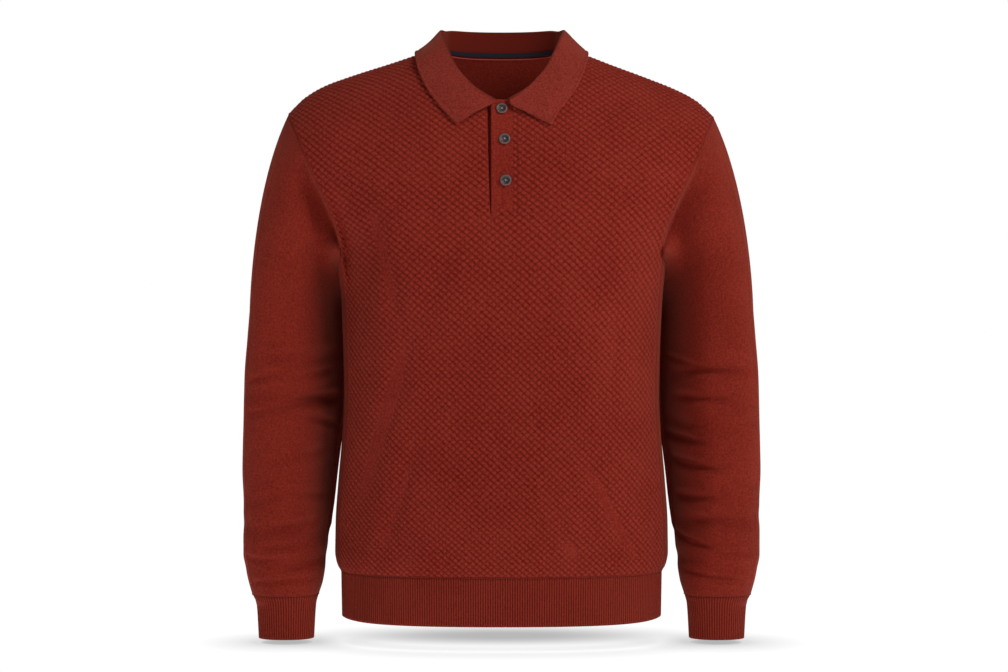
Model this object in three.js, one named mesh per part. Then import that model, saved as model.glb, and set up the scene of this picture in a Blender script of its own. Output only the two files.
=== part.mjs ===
// A long-sleeved fine-knit sweater with a fold-down collar and a three-button placket,
// filled out as if worn. Millimetres, +Z up, the front faces -Y. The origin is where the
// wearer's shoulders carry it: the middle of the neck, at the height of the shoulder line.
// Every cloth piece is a closed wall: an outer grid of points, an inner grid one wall
// further in, and a rim wherever the piece ends.
import * as THREE from 'three';

// Cloth and seams
const WALL = 2.0;
const RIB_HEIGHT = 0.6;
const TAPE_WALL = 0.9;
const SEAM = 0.35;
const PIECE_GAP = 0.3;

// Body
const SQUARENESS = 2.4;
const RIDGE_Y = 8;
const SHOULDER_X = 265.5;
const SHOULDER_Z = -82;
const UNDERARM_Z = -262;
const RIB_SEAM_Z = -652;
const HEM_Z = -711.5;
const NECK_HALF_WIDTH = 78;
const FRONT_NECK_DROP = 74;
const BACK_NECK_DROP = 7;

// Placket: a slot in the front, an overlap band that fills it and an underlap behind it
const SLOT_LEFT = -15.3;
const SLOT_RIGHT = 19.3;
const SLOT_BOTTOM_Z = -219.3;
const SLOT_CLEARANCE = 0.5;
const BAND_LIFT = 0.6;
const UNDERLAP_SIDE = 5;
const CORNER_RADIUS = 7;

// Buttons
const BUTTON_RADIUS = 7;
const BUTTON_THICKNESS = 3.2;
const BUTTONS = [
  { x: 0.4, z: -87.5 },
  { x: 3.8, z: -124.5 },
  { x: 5.2, z: -174.5 },
];

// Ribs
const RIB_PITCH = 2.95;

// Collar
const FOLD_RADIUS = 3.2;

// Half width and depths of the body from the shoulders down, and how far round from the
// centre front and from the centre back the panels reach (the armhole, then the side seam)
const BODY = [
  { z: 40, half: 292, front: 112, back: 100, frontReach: 63.1, backReach: 63.1 },
  { z: -82, half: 292, front: 114, back: 106, frontReach: 63.1, backReach: 63.1 },
  { z: -100, half: 291, front: 116, back: 109, frontReach: 59.8, backReach: 61 },
  { z: -121, half: 288, front: 117, back: 112, frontReach: 56.6, backReach: 58.8 },
  { z: -140, half: 280, front: 118, back: 114, frontReach: 56, backReach: 59 },
  { z: -160, half: 270, front: 119, back: 116, frontReach: 56.2, backReach: 60.5 },
  { z: -186, half: 254, front: 120, back: 117, frontReach: 57, backReach: 63.5 },
  { z: -210, half: 238, front: 121, back: 118, frontReach: 59, backReach: 70 },
  { z: -235, half: 219.5, front: 121.5, back: 118, frontReach: 64, backReach: 83 },
  { z: -250, half: 210.5, front: 122, back: 118, frontReach: 68, backReach: 95 },
  { z: -262, half: 206, front: 122, back: 118, frontReach: 73, backReach: 107 },
  { z: -285, half: 203.5, front: 122, back: 117, frontReach: 73, backReach: 107 },
  { z: -330, half: 200.2, front: 121, back: 115, frontReach: 73, backReach: 107 },
  { z: -380, half: 198, front: 120, back: 112, frontReach: 73, backReach: 107 },
  { z: -435, half: 197, front: 119, back: 110, frontReach: 73, backReach: 107 },
  { z: -480, half: 199, front: 119, back: 110, frontReach: 73, backReach: 107 },
  { z: -540, half: 204, front: 120, back: 112, frontReach: 73, backReach: 107 },
  { z: -595, half: 207.5, front: 121.5, back: 114, frontReach: 73, backReach: 107 },
  { z: -630, half: 207.8, front: 121.5, back: 114, frontReach: 73, backReach: 107 },
  { z: -643, half: 205.5, front: 119.5, back: 112, frontReach: 73, backReach: 107 },
  { z: -652, half: 202.3, front: 117, back: 109.5, frontReach: 73, backReach: 107 },
];

// Hem rib, from the seam down
const HEM = [
  { z: -652, half: 201.2, front: 116, back: 108.5 },
  { z: -711.5, half: 199, front: 115, back: 107.5 },
];

// Height of the shoulder line over each distance from the centre; the right one falls more
const SHOULDER_LINE = [
  { x: 0, left: 8, right: 8 },
  { x: 40, left: 6, right: 6 },
  { x: 78, left: 0, right: 0 },
  { x: 106, left: -9.5, right: -10 },
  { x: 137, left: -20, right: -22 },
  { x: 184, left: -35, right: -39.5 },
  { x: 221, left: -48.5, right: -54.5 },
  { x: 245, left: -62.5, right: -68 },
  { x: 265.5, left: -82, right: -87 },
  { x: 280, left: -102, right: -107 },
];

// Sleeve below the upper arm: its outer and inner edge, half depth and middle
const SLEEVE = [
  { z: -330, outer: 313.5, inner: 202.2, depth: 56, y: 6 },
  { z: -365, outer: 316.2, inner: 201.2, depth: 56, y: 6 },
  { z: -406, outer: 319.4, inner: 200.4, depth: 56, y: 5 },
  { z: -440, outer: 320.4, inner: 200.2, depth: 55.5, y: 4 },
  { z: -466, outer: 320.9, inner: 201.2, depth: 55, y: 2 },
  { z: -496, outer: 321.6, inner: 204.4, depth: 54, y: -1 },
  { z: -526, outer: 322, inner: 208, depth: 53, y: -4 },
  { z: -571, outer: 320.1, inner: 212.6, depth: 51, y: -8 },
  { z: -601, outer: 320.4, inner: 216.4, depth: 49.5, y: -11 },
  { z: -631, outer: 320.3, inner: 218.8, depth: 48, y: -14 },
  { z: -650, outer: 317, inner: 220.2, depth: 46, y: -16 },
  { z: -664, outer: 314, inner: 222, depth: 43, y: -17.5 },
  { z: -680.6, outer: 309.4, inner: 226.8, depth: 37, y: -19 },
];
const UPPER_ARM_Z = -330;
const CUFF_SEAM_Z = -680.6;
const SLEEVE_SQUARENESS = 2.2;

// Cuff, from the seam down
const CUFF = [
  { z: -681, outer: 309, inner: 227.1, depth: 36.6, y: -19 },
  { z: -692, outer: 304, inner: 230, depth: 33, y: -20 },
  { z: -735, outer: 301.2, inner: 232.7, depth: 31, y: -20 },
];

// Collar stations from the front end to the centre back: where the neck seam runs (its
// distance from the centre), the crest of the fold, how far the leaf drops before it turns
// outward, how far it bellies, its free edge, which lies on the front and shoulder at x and
// z and, past the shoulder line, on the back, and how far the leaf's top is lifted there
const COLLAR = [
  { neck: 15.3, foldX: 13.4, foldY: -93, foldZ: -69.5, drop: 8, belly: 0, edgeX: 53.7, edgeZ: -105, lift: 3.4 },
  { neck: 32, foldX: 29.5, foldY: -85, foldZ: -59, drop: 2, belly: 2, edgeX: 63.5, edgeZ: -96, lift: 3.4 },
  { neck: 47, foldX: 43, foldY: -76, foldZ: -46, drop: 0, belly: 2, edgeX: 78, edgeZ: -79, lift: 3.4 },
  { neck: 60, foldX: 54.5, foldY: -65, foldZ: -31, drop: 0, belly: 2, edgeX: 91, edgeZ: -60, lift: 3.4 },
  { neck: 69, foldX: 63.5, foldY: -50, foldZ: -13, drop: 0, belly: 1, edgeX: 99.5, edgeZ: -42, lift: 4 },
  { neck: 75, foldX: 70, foldY: -28, foldZ: 6, drop: 0, belly: -1, edgeX: 104.5, edgeZ: -25, lift: 5.6 },
  { neck: 78, foldX: 74, foldY: 8, foldZ: 23.5, drop: 0, belly: -2.5, edgeX: 106.5, edgeZ: -9.6, lift: 5.4 },
  { neck: 71, foldX: 69.5, foldY: 38, foldZ: 26.5, drop: 0, belly: -1, edgeX: 99, edgeZ: -15, lift: 4.6 },
  { neck: 58, foldX: 58, foldY: 52, foldZ: 27, drop: 0, belly: 1, edgeX: 80, edgeZ: -19, lift: 3.8 },
  { neck: 40, foldX: 41, foldY: 61, foldZ: 27, drop: 0, belly: 1, edgeX: 56, edgeZ: -23, lift: 3.4 },
  { neck: 20, foldX: 21, foldY: 66, foldZ: 27, drop: 0, belly: 1, edgeX: 28, edgeZ: -25, lift: 3.4 },
  { neck: 0, foldX: 0, foldY: 67.5, foldZ: 27, drop: 0, belly: 1, edgeX: 0, edgeZ: -26, lift: 3.4 },
];
const SHOULDER_STATION = 6;
// On the overlap's side the leaf reaches further across, its point is longer and its roll
// stands fuller at the shoulder
const RIGHT_SIDE = [
  { neck: 9, foldX: 8.5, foldZ: -71, drop: 5, edgeX: 61, edgeZ: -106.5 },
  { edgeX: 67, edgeZ: -94.5 },
  {},
  {},
  {},
  { foldX: 71.5 },
  { foldX: 76.5, belly: -1 },
  { foldX: 71 },
];

// Largest folds of the sleeves: degrees round from the outer edge, towards the front,
// then the height, reach round, width, slope over the reach, and depth
const LEFT_SLEEVE_FOLDS = [
  { around: 95, z: -436, reach: 62, width: 15, rise: -6, depth: 3.2 },
  { around: 120, z: -388, reach: 50, width: 13, rise: 10, depth: 2.2 },
  { around: 80, z: -600, reach: 70, width: 13, rise: -6, depth: 2.4 },
  { around: 100, z: -640, reach: 80, width: 11, rise: 4, depth: 1.8 },
  { around: 270, z: -420, reach: 60, width: 16, rise: 8, depth: 2.6 },
  { around: 255, z: -610, reach: 70, width: 13, rise: -8, depth: 2.2 },
];
const RIGHT_SLEEVE_FOLDS = [
  { around: 100, z: -404, reach: 60, width: 14, rise: -4, depth: 2.8 },
  { around: 125, z: -470, reach: 46, width: 13, rise: 9, depth: 2.6 },
  { around: 85, z: -588, reach: 70, width: 12, rise: -5, depth: 2.8 },
  { around: 110, z: -640, reach: 80, width: 11, rise: 5, depth: 2.2 },
  { around: 262, z: -445, reach: 60, width: 16, rise: -8, depth: 2.6 },
  { around: 280, z: -600, reach: 70, width: 13, rise: 6, depth: 2.2 },
];
// Soft folds of the body: where each runs from and to (x, z), its width and its depth,
// on the front and on the back
const FRONT_FOLDS = [
  { x0: -150, z0: -222, x1: -178, z1: -345, width: 17, depth: 2.4 },
  { x0: 158, z0: -236, x1: 176, z1: -350, width: 15, depth: 1.8 },
  { x0: -168, z0: -520, x1: -112, z1: -628, width: 22, depth: 2.2 },
  { x0: 172, z0: -540, x1: 132, z1: -632, width: 20, depth: 1.8 },
  { x0: -60, z0: -440, x1: 40, z1: -560, width: 34, depth: 1.6 },
];
const BACK_FOLDS = [
  { x0: -150, z0: -200, x1: -120, z1: -380, width: 20, depth: 2.4 },
  { x0: 146, z0: -210, x1: 124, z1: -360, width: 20, depth: 2.2 },
  { x0: -60, z0: -480, x1: 70, z1: -610, width: 30, depth: 2.4 },
  { x0: -150, z0: -560, x1: -70, z1: -636, width: 20, depth: 2 },
  { x0: 0, z0: -260, x1: 16, z1: -420, width: 34, depth: 2.2 },
];

const SHOULDER_ROWS = 10;
const BODY_ROWS = 10;
const CAP_ROWS = 6;
const SLEEVE_ROWS = 15;

const KNIT_RED = '#7a2a1e';
const COLLAR_RED = '#84332a';
const RIB_RED = '#6e241a';

const vec = (x, y, z) => new THREE.Vector3(x, y, z);
const mix = THREE.MathUtils.lerp;
const radians = THREE.MathUtils.degToRad;

function signedPower(value, power) {
  return Math.sign(value) * Math.abs(value) ** power;
}

// Smooth curve through one column of a table, read at a value of another column
function read(rows, by, column, at) {
  const up = rows[rows.length - 1][by] > rows[0][by];
  const list = up ? rows : [...rows].reverse();
  const last = list.length - 1;
  const value = THREE.MathUtils.clamp(at, list[0][by], list[last][by]);
  let i = 0;
  while (i < last - 1 && list[i + 1][by] < value) i += 1;
  const slope = (k) => (list[k + 1][column] - list[k][column]) / (list[k + 1][by] - list[k][by]);
  const tangent = (k) => {
    if (k === 0) return slope(0);
    if (k === last) return slope(last - 1);
    const before = slope(k - 1);
    const after = slope(k);
    return before * after <= 0 ? 0 : 2 * before * after / (before + after);
  };
  const span = list[i + 1][by] - list[i][by];
  const t = (value - list[i][by]) / span;
  const t2 = t * t;
  const t3 = t2 * t;
  return (2 * t3 - 3 * t2 + 1) * list[i][column] + (t3 - 2 * t2 + t) * span * tangent(i)
    + (3 * t2 - 2 * t3) * list[i + 1][column] + (t3 - t2) * span * tangent(i + 1);
}

function ridgeHeight(x) {
  return read(SHOULDER_LINE, 'x', x < 0 ? 'left' : 'right', Math.abs(x));
}

// The body's outer surface at an angle round from the centre front (to the right) and a
// height. Near the shoulder line it rounds over to the line itself.
function bodyPoint(angle, z) {
  const turn = Math.cos(angle);
  const half = read(BODY, 'z', 'half', z);
  const depth = read(BODY, 'z', turn > 0 ? 'front' : 'back', z);
  const x = half * signedPower(Math.sin(angle), 2 / SQUARENESS);
  const y = -depth * signedPower(turn, 2 / SQUARENESS);
  const outward = (Math.abs(x) / SHOULDER_X) ** 2;
  const drop = turn > 0 ? mix(230, 120, outward) : mix(80, 110, outward);
  const below = (ridgeHeight(x) - z) / drop;
  const round = Math.sqrt(1 - (1 - THREE.MathUtils.clamp(below, 0, 1)) ** 2);
  return vec(x, mix(RIDGE_Y, y, round), z);
}

function bodyNormal(angle, z) {
  const { x } = bodyPoint(angle, z);
  const step = 0.5;
  const ridge = ridgeHeight(x);
  if (ridge - z < step) {
    const slope = (ridgeHeight(x + 1) - ridgeHeight(x - 1)) / 2;
    return vec(-slope, 0, 1).normalize();
  }
  const turn = 0.004;
  const around = bodyPoint(angle + turn, z).sub(bodyPoint(angle - turn, z));
  const rise = Math.min(step, (ridge - z) / 2);
  const up = bodyPoint(angle, z + rise).sub(bodyPoint(angle, z - rise));
  return around.cross(up).normalize();
}

// How far a soft fold moves the cloth at a place: a trough with a low ridge on each side
function foldDepth(folds, x, z) {
  let total = 0;
  for (const fold of folds) {
    const run = vec(fold.x1 - fold.x0, 0, fold.z1 - fold.z0);
    const place = vec(x - fold.x0, 0, z - fold.z0);
    const length = run.length();
    const along = place.dot(run) / length;
    const across = (place.x * run.z - place.z * run.x) / length / fold.width;
    const end = (along / length - 0.5) / 0.55;
    total += fold.depth * (1.2 * across ** 2 - 1) * Math.exp(-(across ** 2) - end ** 4);
  }
  return total;
}

function angleAt(x, z) {
  const share = Math.min(1, Math.abs(x) / read(BODY, 'z', 'half', z));
  return Math.sign(x) * Math.asin(share ** (SQUARENESS / 2));
}

// A point on the front at x and z, lifted off it, and the same on the back
function onFront(x, z, lift = 0) {
  const angle = angleAt(x, z);
  const normal = bodyNormal(angle, z);
  return bodyPoint(angle, z).addScaledVector(normal, lift + foldDepth(FRONT_FOLDS, x, z));
}

// Raises a point of the leaf until it is its lift off the front
function clearOfFront(point, lift) {
  const normal = bodyNormal(angleAt(point.x, point.z), point.z);
  const off = vec().copy(point).sub(onFront(point.x, point.z)).dot(normal);
  return point.addScaledVector(normal, Math.max(0, lift - off));
}

function onBack(x, z, lift = 0) {
  const angle = Math.PI - angleAt(x, z);
  return bodyPoint(angle, z).addScaledVector(bodyNormal(angle, z), lift);
}

function onRidge(x, lift = 0) {
  const z = ridgeHeight(x);
  const normal = bodyNormal(angleAt(x, z), z);
  return vec(x, RIDGE_Y, z).addScaledVector(normal, lift);
}

// A closed wall from two grids of points (rows of columns). Cells for which keep says no
// are left out, and every open edge gets a rim. Around a tube the last column joins the
// first. With fine = 2 the outer grid has two columns for each inner one.
function wall(outer, inner, { tube = false, fine = 1, keep = () => true } = {}) {
  const rows = inner.length;
  const columns = inner[0].length;
  const cells = tube ? columns : columns - 1;
  const points = [];
  const outerStart = 0;
  const outerColumns = outer[0].length;
  for (const row of outer) points.push(...row);
  const innerStart = points.length;
  for (const row of inner) points.push(...row);
  const out = (r, c) => outerStart + r * outerColumns + (c % outerColumns);
  const inn = (r, c) => innerStart + r * columns + (c % columns);
  const faces = [];
  const quad = (a, b, c, d) => {
    const across = points[a].distanceToSquared(points[c]) > points[b].distanceToSquared(points[d]);
    if (across) faces.push([a, b, d], [b, c, d]);
    else faces.push([a, b, c], [a, c, d]);
  };
  const kept = (r, c) => {
    if (r < 0 || r > rows - 2) return false;
    if (!tube && (c < 0 || c > cells - 1)) return false;
    return keep(r, (c + cells) % cells);
  };
  for (let r = 0; r < rows - 1; r += 1) {
    for (let c = 0; c < cells; c += 1) {
      if (!kept(r, c)) continue;
      quad(inn(r, c), inn(r, c + 1), inn(r + 1, c + 1), inn(r + 1, c));
      for (let k = 0; k < fine; k += 1) {
        const o = c * fine + k;
        quad(out(r, o), out(r + 1, o), out(r + 1, o + 1), out(r, o + 1));
      }
      const rim = (row, turned) => {
        const fan = [];
        const middle = Math.ceil(fine / 2);
        for (let k = 0; k < fine; k += 1) {
          const corner = k < middle ? inn(row, c) : inn(row, c + 1);
          fan.push([out(row, c * fine + k), out(row, c * fine + k + 1), corner]);
        }
        fan.push([inn(row, c), out(row, c * fine + middle), inn(row, c + 1)]);
        for (const [a, b, d] of fan) faces.push(turned ? [a, d, b] : [a, b, d]);
      };
      if (!kept(r - 1, c)) rim(r, false);
      if (!kept(r + 1, c)) rim(r + 1, true);
      if (!kept(r, c - 1)) {
        quad(out(r, c * fine), inn(r, c), inn(r + 1, c), out(r + 1, c * fine));
      }
      if (!kept(r, c + 1)) {
        const o = (c + 1) * fine;
        quad(out(r, o), out(r + 1, o), inn(r + 1, c + 1), inn(r, c + 1));
      }
    }
  }
  return solid(points, faces);
}

// Geometry of a closed body, turned so that its faces point out
function solid(points, faces) {
  const used = new Map();
  const positions = [];
  const place = (i) => {
    if (!used.has(i)) {
      used.set(i, used.size);
      positions.push(...points[i].toArray());
    }
    return used.get(i);
  };
  let volume = 0;
  for (const [a, b, c] of faces) {
    volume += points[a].dot(vec().copy(points[b]).cross(points[c]));
  }
  const index = [];
  for (const [a, b, c] of faces) {
    index.push(place(a), ...(volume > 0 ? [place(b), place(c)] : [place(c), place(b)]));
  }
  const geometry = new THREE.BufferGeometry();
  geometry.setAttribute('position', new THREE.Float32BufferAttribute(positions, 3));
  geometry.setIndex(index);
  geometry.computeVertexNormals();
  return geometry;
}

const object = new THREE.Group();
object.name = 'sweater';

function add(name, geometry, color, roughness = 0.9) {
  const material = new THREE.MeshStandardMaterial({ color, roughness, metalness: 0 });
  const mesh = new THREE.Mesh(geometry, material);
  mesh.name = name;
  object.add(mesh);
}

// Neckline height over a distance from the centre, at the front and at the back
function frontNeck(x) {
  const share = Math.min(1, Math.abs(x) / NECK_HALF_WIDTH);
  return -FRONT_NECK_DROP * Math.sqrt(1 - share ** 2);
}

function backNeck(x) {
  const share = Math.min(1, Math.abs(x) / NECK_HALF_WIDTH);
  return -BACK_NECK_DROP * Math.sqrt(1 - share ** 3);
}

// How far down its column a row lies, from 0 at the top to 1 at the foot of the block
function shoulderShare(row) {
  const t = row / SHOULDER_ROWS;
  return mix(t, (1 - Math.cos(Math.PI * t)) / 2, 0.75);
}

// A panel of the body: its outer points and the normal at each one
function panelRows(columns, place) {
  const rows = [];
  for (let r = 0; r <= SHOULDER_ROWS + BODY_ROWS; r += 1) {
    rows.push(columns.map((column) => place(column, r)));
  }
  return rows;
}

function blockHeight(top, foot, row) {
  if (row <= SHOULDER_ROWS) return mix(top, foot, shoulderShare(row));
  return mix(foot, RIB_SEAM_Z, (row - SHOULDER_ROWS) / BODY_ROWS);
}

const NECK_COLUMNS = COLLAR.slice(0, 7).map((row) => row.neck);
const BACK_NECK_COLUMNS = COLLAR.slice(7, 11).map((row) => row.neck);
const OUTER_COLUMNS = [96, 118, 144, 172, 202, 229, 250, SHOULDER_X];

function frontColumns() {
  const left = [...NECK_COLUMNS.slice(1), ...OUTER_COLUMNS].map((x) => -x).reverse();
  const right = [...NECK_COLUMNS.slice(1), ...OUTER_COLUMNS];
  return [...left, SLOT_LEFT, SLOT_RIGHT, ...right];
}

function ridgePlace(x) {
  const z = ridgeHeight(x);
  return { point: onRidge(x), normal: bodyNormal(angleAt(x, z), z) };
}

// Where a front column hangs once clear of the neck: evenly spaced, closer at the sides
function evenColumn(topX) {
  const all = [...NECK_COLUMNS, ...OUTER_COLUMNS];
  const k = all.indexOf(Math.abs(topX));
  if (k < 1) return topX;
  const share = k / (all.length - 1);
  return Math.sign(topX) * mix(all[0], SHOULDER_X, share * mix(1.2, 1, share));
}

// Front panel: columns leave the neck and shoulder close together or wide apart, hang
// evenly spaced, and follow the armhole and side seam at the sides
function frontPlace(topX, row) {
  if (row === 0 && Math.abs(topX) >= NECK_HALF_WIDTH) return ridgePlace(topX);
  const top = Math.abs(topX) < NECK_HALF_WIDTH ? frontNeck(topX) : ridgeHeight(topX);
  const x = mix(topX, evenColumn(topX), Math.min(1, row / SHOULDER_ROWS));
  const share = Math.abs(x) / SHOULDER_X;
  const foot = mix(SLOT_BOTTOM_Z, UNDERARM_Z, share ** 2);
  const z = blockHeight(top, foot, row);
  const reach = radians(read(BODY, 'z', 'frontReach', z));
  const side = read(BODY, 'z', 'half', z) * Math.sin(reach) ** (2 / SQUARENESS);
  const at = x + Math.sign(x) * (side - SHOULDER_X) * share ** 3;
  const angle = share > 0.999 ? Math.sign(x) * reach : angleAt(at, z);
  const point = bodyPoint(angle, z);
  const normal = bodyNormal(angle, z);
  const soft = 1 - share ** 8;
  point.addScaledVector(normal, foldDepth(FRONT_FOLDS, at, z) * soft);
  return { point, normal };
}

// Back panel: columns spread round to the side seams, which lie a little to the front
function backPlace(x, row) {
  if (row === 0 && Math.abs(x) >= NECK_HALF_WIDTH) return ridgePlace(x);
  const share = Math.abs(x) / SHOULDER_X;
  const top = Math.abs(x) < NECK_HALF_WIDTH ? backNeck(x) : ridgeHeight(x);
  const z = blockHeight(top, UNDERARM_Z, row);
  const topAngle = Math.abs(angleAt(x, SHOULDER_Z));
  const part = topAngle / Math.abs(angleAt(SHOULDER_X, SHOULDER_Z));
  const angle = Math.PI - Math.sign(x) * part * radians(read(BODY, 'z', 'backReach', z));
  const point = bodyPoint(angle, z);
  const normal = bodyNormal(angle, z);
  const soft = Math.max(0, 1 - share ** 6);
  point.addScaledVector(normal, foldDepth(BACK_FOLDS, point.x, z) * soft);
  return { point, normal };
}

// Armhole of one side: from the shoulder point down the front, under the arm and up the
// back. Each place has the thickness direction that the body and the sleeve share there.
function armhole(side) {
  const loop = [];
  for (let r = 0; r <= SHOULDER_ROWS; r += 1) loop.push(frontPlace(side * SHOULDER_X, r));
  for (let r = SHOULDER_ROWS - 1; r > 0; r -= 1) loop.push(backPlace(side * SHOULDER_X, r));
  const count = loop.length;
  const middle = vec(0, 0, 0);
  for (const place of loop) middle.addScaledVector(place.point, 1 / count);
  const down = vec(side * 0.34, 0, -0.94);
  loop.forEach((place, k) => {
    const next = loop[(k + 1) % count].point;
    const before = loop[(k + count - 1) % count].point;
    const along = vec().copy(next).sub(before).normalize();
    const sleeveFace = vec().copy(along).cross(down).normalize();
    const radial = vec().copy(place.point).sub(middle);
    radial.addScaledVector(along, -radial.dot(along)).normalize();
    if (sleeveFace.dot(radial) < 0) sleeveFace.negate();
    place.along = along;
    place.rim = vec().copy(place.normal).add(sleeveFace).addScaledVector(radial, 1.5).normalize();
    place.parting = vec().copy(along).cross(place.rim).normalize();
    if (place.parting.dot(vec(side, 0, -0.3)) < 0) place.parting.negate();
  });
  return loop;
}

const ARMHOLES = { '-1': armhole(-1), 1: armhole(1) };

function armholePlace(x, row, back) {
  const loop = ARMHOLES[Math.sign(x)];
  return loop[back && row > 0 && row < SHOULDER_ROWS ? loop.length - row : row];
}

// Moves an edge point back along its row, so that the next piece keeps the seam's gap
function pulledBack(point, neighbour, distance) {
  return vec().copy(neighbour).sub(point).setLength(distance).add(point);
}

function panel(columns, place, back) {
  const rows = panelRows(columns, place);
  const last = columns.length - 1;
  const outer = rows.map((row) => row.map((item) => item.point));
  const inner = rows.map((row, r) => row.map((item, c) => {
    const atSide = (c === 0 || c === last) && r <= SHOULDER_ROWS;
    const direction = atSide ? armholePlace(columns[c], r, back).rim : item.normal;
    return vec().copy(item.point).addScaledVector(direction, -WALL);
  }));
  for (const grid of [outer, inner]) {
    grid.forEach((row, r) => {
      for (const [c, beside] of [[0, 1], [last, last - 1]]) {
        if (r > SHOULDER_ROWS) {
          row[c] = pulledBack(row[c], row[beside], SEAM / 2);
        } else {
          const { parting } = armholePlace(columns[c], r, back);
          row[c] = vec().copy(row[c]).addScaledVector(parting, -SEAM / 2);
        }
      }
    });
    grid[0] = grid[0].map((point, c) => {
      const ridge = Math.abs(columns[c]) >= NECK_HALF_WIDTH;
      return ridge ? vec(point.x, point.y + (back ? 1 : -1) * SEAM / 2, point.z) : point;
    });
  }
  return { outer, inner };
}

function addFront() {
  const columns = frontColumns();
  const slot = columns.indexOf(SLOT_LEFT);
  const { outer, inner } = panel(columns, frontPlace, false);
  const keep = (r, c) => !(c === slot && r < SHOULDER_ROWS);
  add('body_front', wall(outer, inner, { keep }), KNIT_RED);
  return { outer, inner, columns };
}

function addBack() {
  const half = [...BACK_NECK_COLUMNS, NECK_HALF_WIDTH, ...OUTER_COLUMNS];
  half.sort((a, b) => a - b);
  const columns = [...half.map((x) => -x).reverse(), 0, ...half];
  const { outer, inner } = panel(columns, backPlace, true);
  add('body_back', wall(outer, inner), KNIT_RED);
  return { outer, inner, columns };
}

// A ring of a sleeve or cuff at one height, at an angle round from its outer edge
function ringPoint(table, side, turn, z, lift = 0) {
  const outer = read(table, 'z', 'outer', z);
  const inner = read(table, 'z', 'inner', z);
  const depth = read(table, 'z', 'depth', z) + lift;
  const halfWidth = (outer - inner) / 2 + lift;
  const x = (outer + inner) / 2 + halfWidth * signedPower(Math.cos(turn), 2 / SLEEVE_SQUARENESS);
  const y = read(table, 'z', 'y', z) - depth * signedPower(Math.sin(turn), 2 / SLEEVE_SQUARENESS);
  return vec(side * x, y, z);
}

function sleeveFold(side, turn, z) {
  const folds = side < 0 ? LEFT_SLEEVE_FOLDS : RIGHT_SLEEVE_FOLDS;
  let total = 0;
  for (const fold of folds) {
    const apart = turn - radians(fold.around) + Math.PI;
    const off = THREE.MathUtils.euclideanModulo(apart, 2 * Math.PI) - Math.PI;
    const share = off / radians(fold.reach);
    const across = (z - fold.z - fold.rise * share) / fold.width;
    total += fold.depth * (1.2 * across ** 2 - 1) * Math.exp(-(across ** 2) - share ** 4);
  }
  const besideBody = Math.exp(-(((turn - Math.PI) / 0.7) ** 4)) * THREE.MathUtils.smoothstep(z, -520, -470);
  return total * (1 - besideBody);
}

// Sleeve: the cap flows from the armhole to the upper arm, then rings follow to the cuff
function addSleeve(name, side) {
  const loop = ARMHOLES[side];
  const count = loop.length;
  const lengths = [0];
  for (let k = 0; k < count; k += 1) {
    const step = loop[(k + 1) % count].point.distanceTo(loop[k].point);
    lengths.push(lengths[k] + step);
  }
  const turns = loop.map((_, k) => 2 * Math.PI * lengths[k] / lengths[count]);
  const outer = [];
  const normals = [];
  for (let r = 0; r <= CAP_ROWS; r += 1) {
    const t = r / CAP_ROWS;
    outer.push(loop.map((place, k) => {
      const top = (1 + Math.cos(turns[k])) / 2;
      const start = vec().copy(place.point);
      const end = ringPoint(SLEEVE, side, turns[k], UPPER_ARM_Z);
      const reach = start.distanceTo(end);
      const leave = vec(side * mix(0.02, 0.5, top), 0, -1).setLength(reach * 0.9);
      const arrive = vec(side * 0.03, 0, -1).setLength(reach * 0.9);
      start.addScaledVector(place.parting, SEAM / 2);
      const t2 = t * t;
      const t3 = t2 * t;
      return vec(0, 0, 0).addScaledVector(start, 2 * t3 - 3 * t2 + 1)
        .addScaledVector(leave, t3 - 2 * t2 + t)
        .addScaledVector(end, 3 * t2 - 2 * t3)
        .addScaledVector(arrive, t3 - t2);
    }));
  }
  for (let r = 1; r <= SLEEVE_ROWS; r += 1) {
    const z = mix(UPPER_ARM_Z, CUFF_SEAM_Z, (r / SLEEVE_ROWS) ** 0.85);
    outer.push(turns.map((turn) => ringPoint(SLEEVE, side, turn, z)));
  }
  const last = outer.length - 1;
  for (let r = 0; r <= last; r += 1) {
    normals.push(outer[r].map((_, k) => {
      const around = vec().copy(outer[r][(k + 1) % count]).sub(outer[r][(k + count - 1) % count]);
      const down = vec().copy(outer[Math.min(last, r + 1)][k]).sub(outer[Math.max(0, r - 1)][k]);
      return down.cross(around).normalize().multiplyScalar(-side);
    }));
  }
  loop.forEach((place, k) => { normals[0][k] = place.rim; });
  for (let r = 1; r < last; r += 1) {
    outer[r].forEach((point, k) => {
      point.addScaledVector(normals[r][k], sleeveFold(side, turns[k], point.z));
    });
  }
  const inner = outer.map((row, r) => row.map((point, k) => {
    return vec().copy(point).addScaledVector(normals[r][k], -WALL);
  }));
  add(name, wall(outer, inner, { tube: true }), KNIT_RED);
}

// A ribbed tube: crests and troughs outside, a plain inside
function ribbedTube(heights, place, ribs) {
  const outer = heights.map((z) => {
    const row = [];
    for (let k = 0; k < 2 * ribs; k += 1) row.push(place(k / (2 * ribs), z, k % 2 ? 0 : -RIB_HEIGHT));
    return row;
  });
  const inner = heights.map((z) => {
    const row = [];
    for (let k = 0; k < ribs; k += 1) row.push(place(k / ribs, z, -WALL));
    return row;
  });
  return wall(outer, inner, { tube: true, fine: 2 });
}

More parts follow.
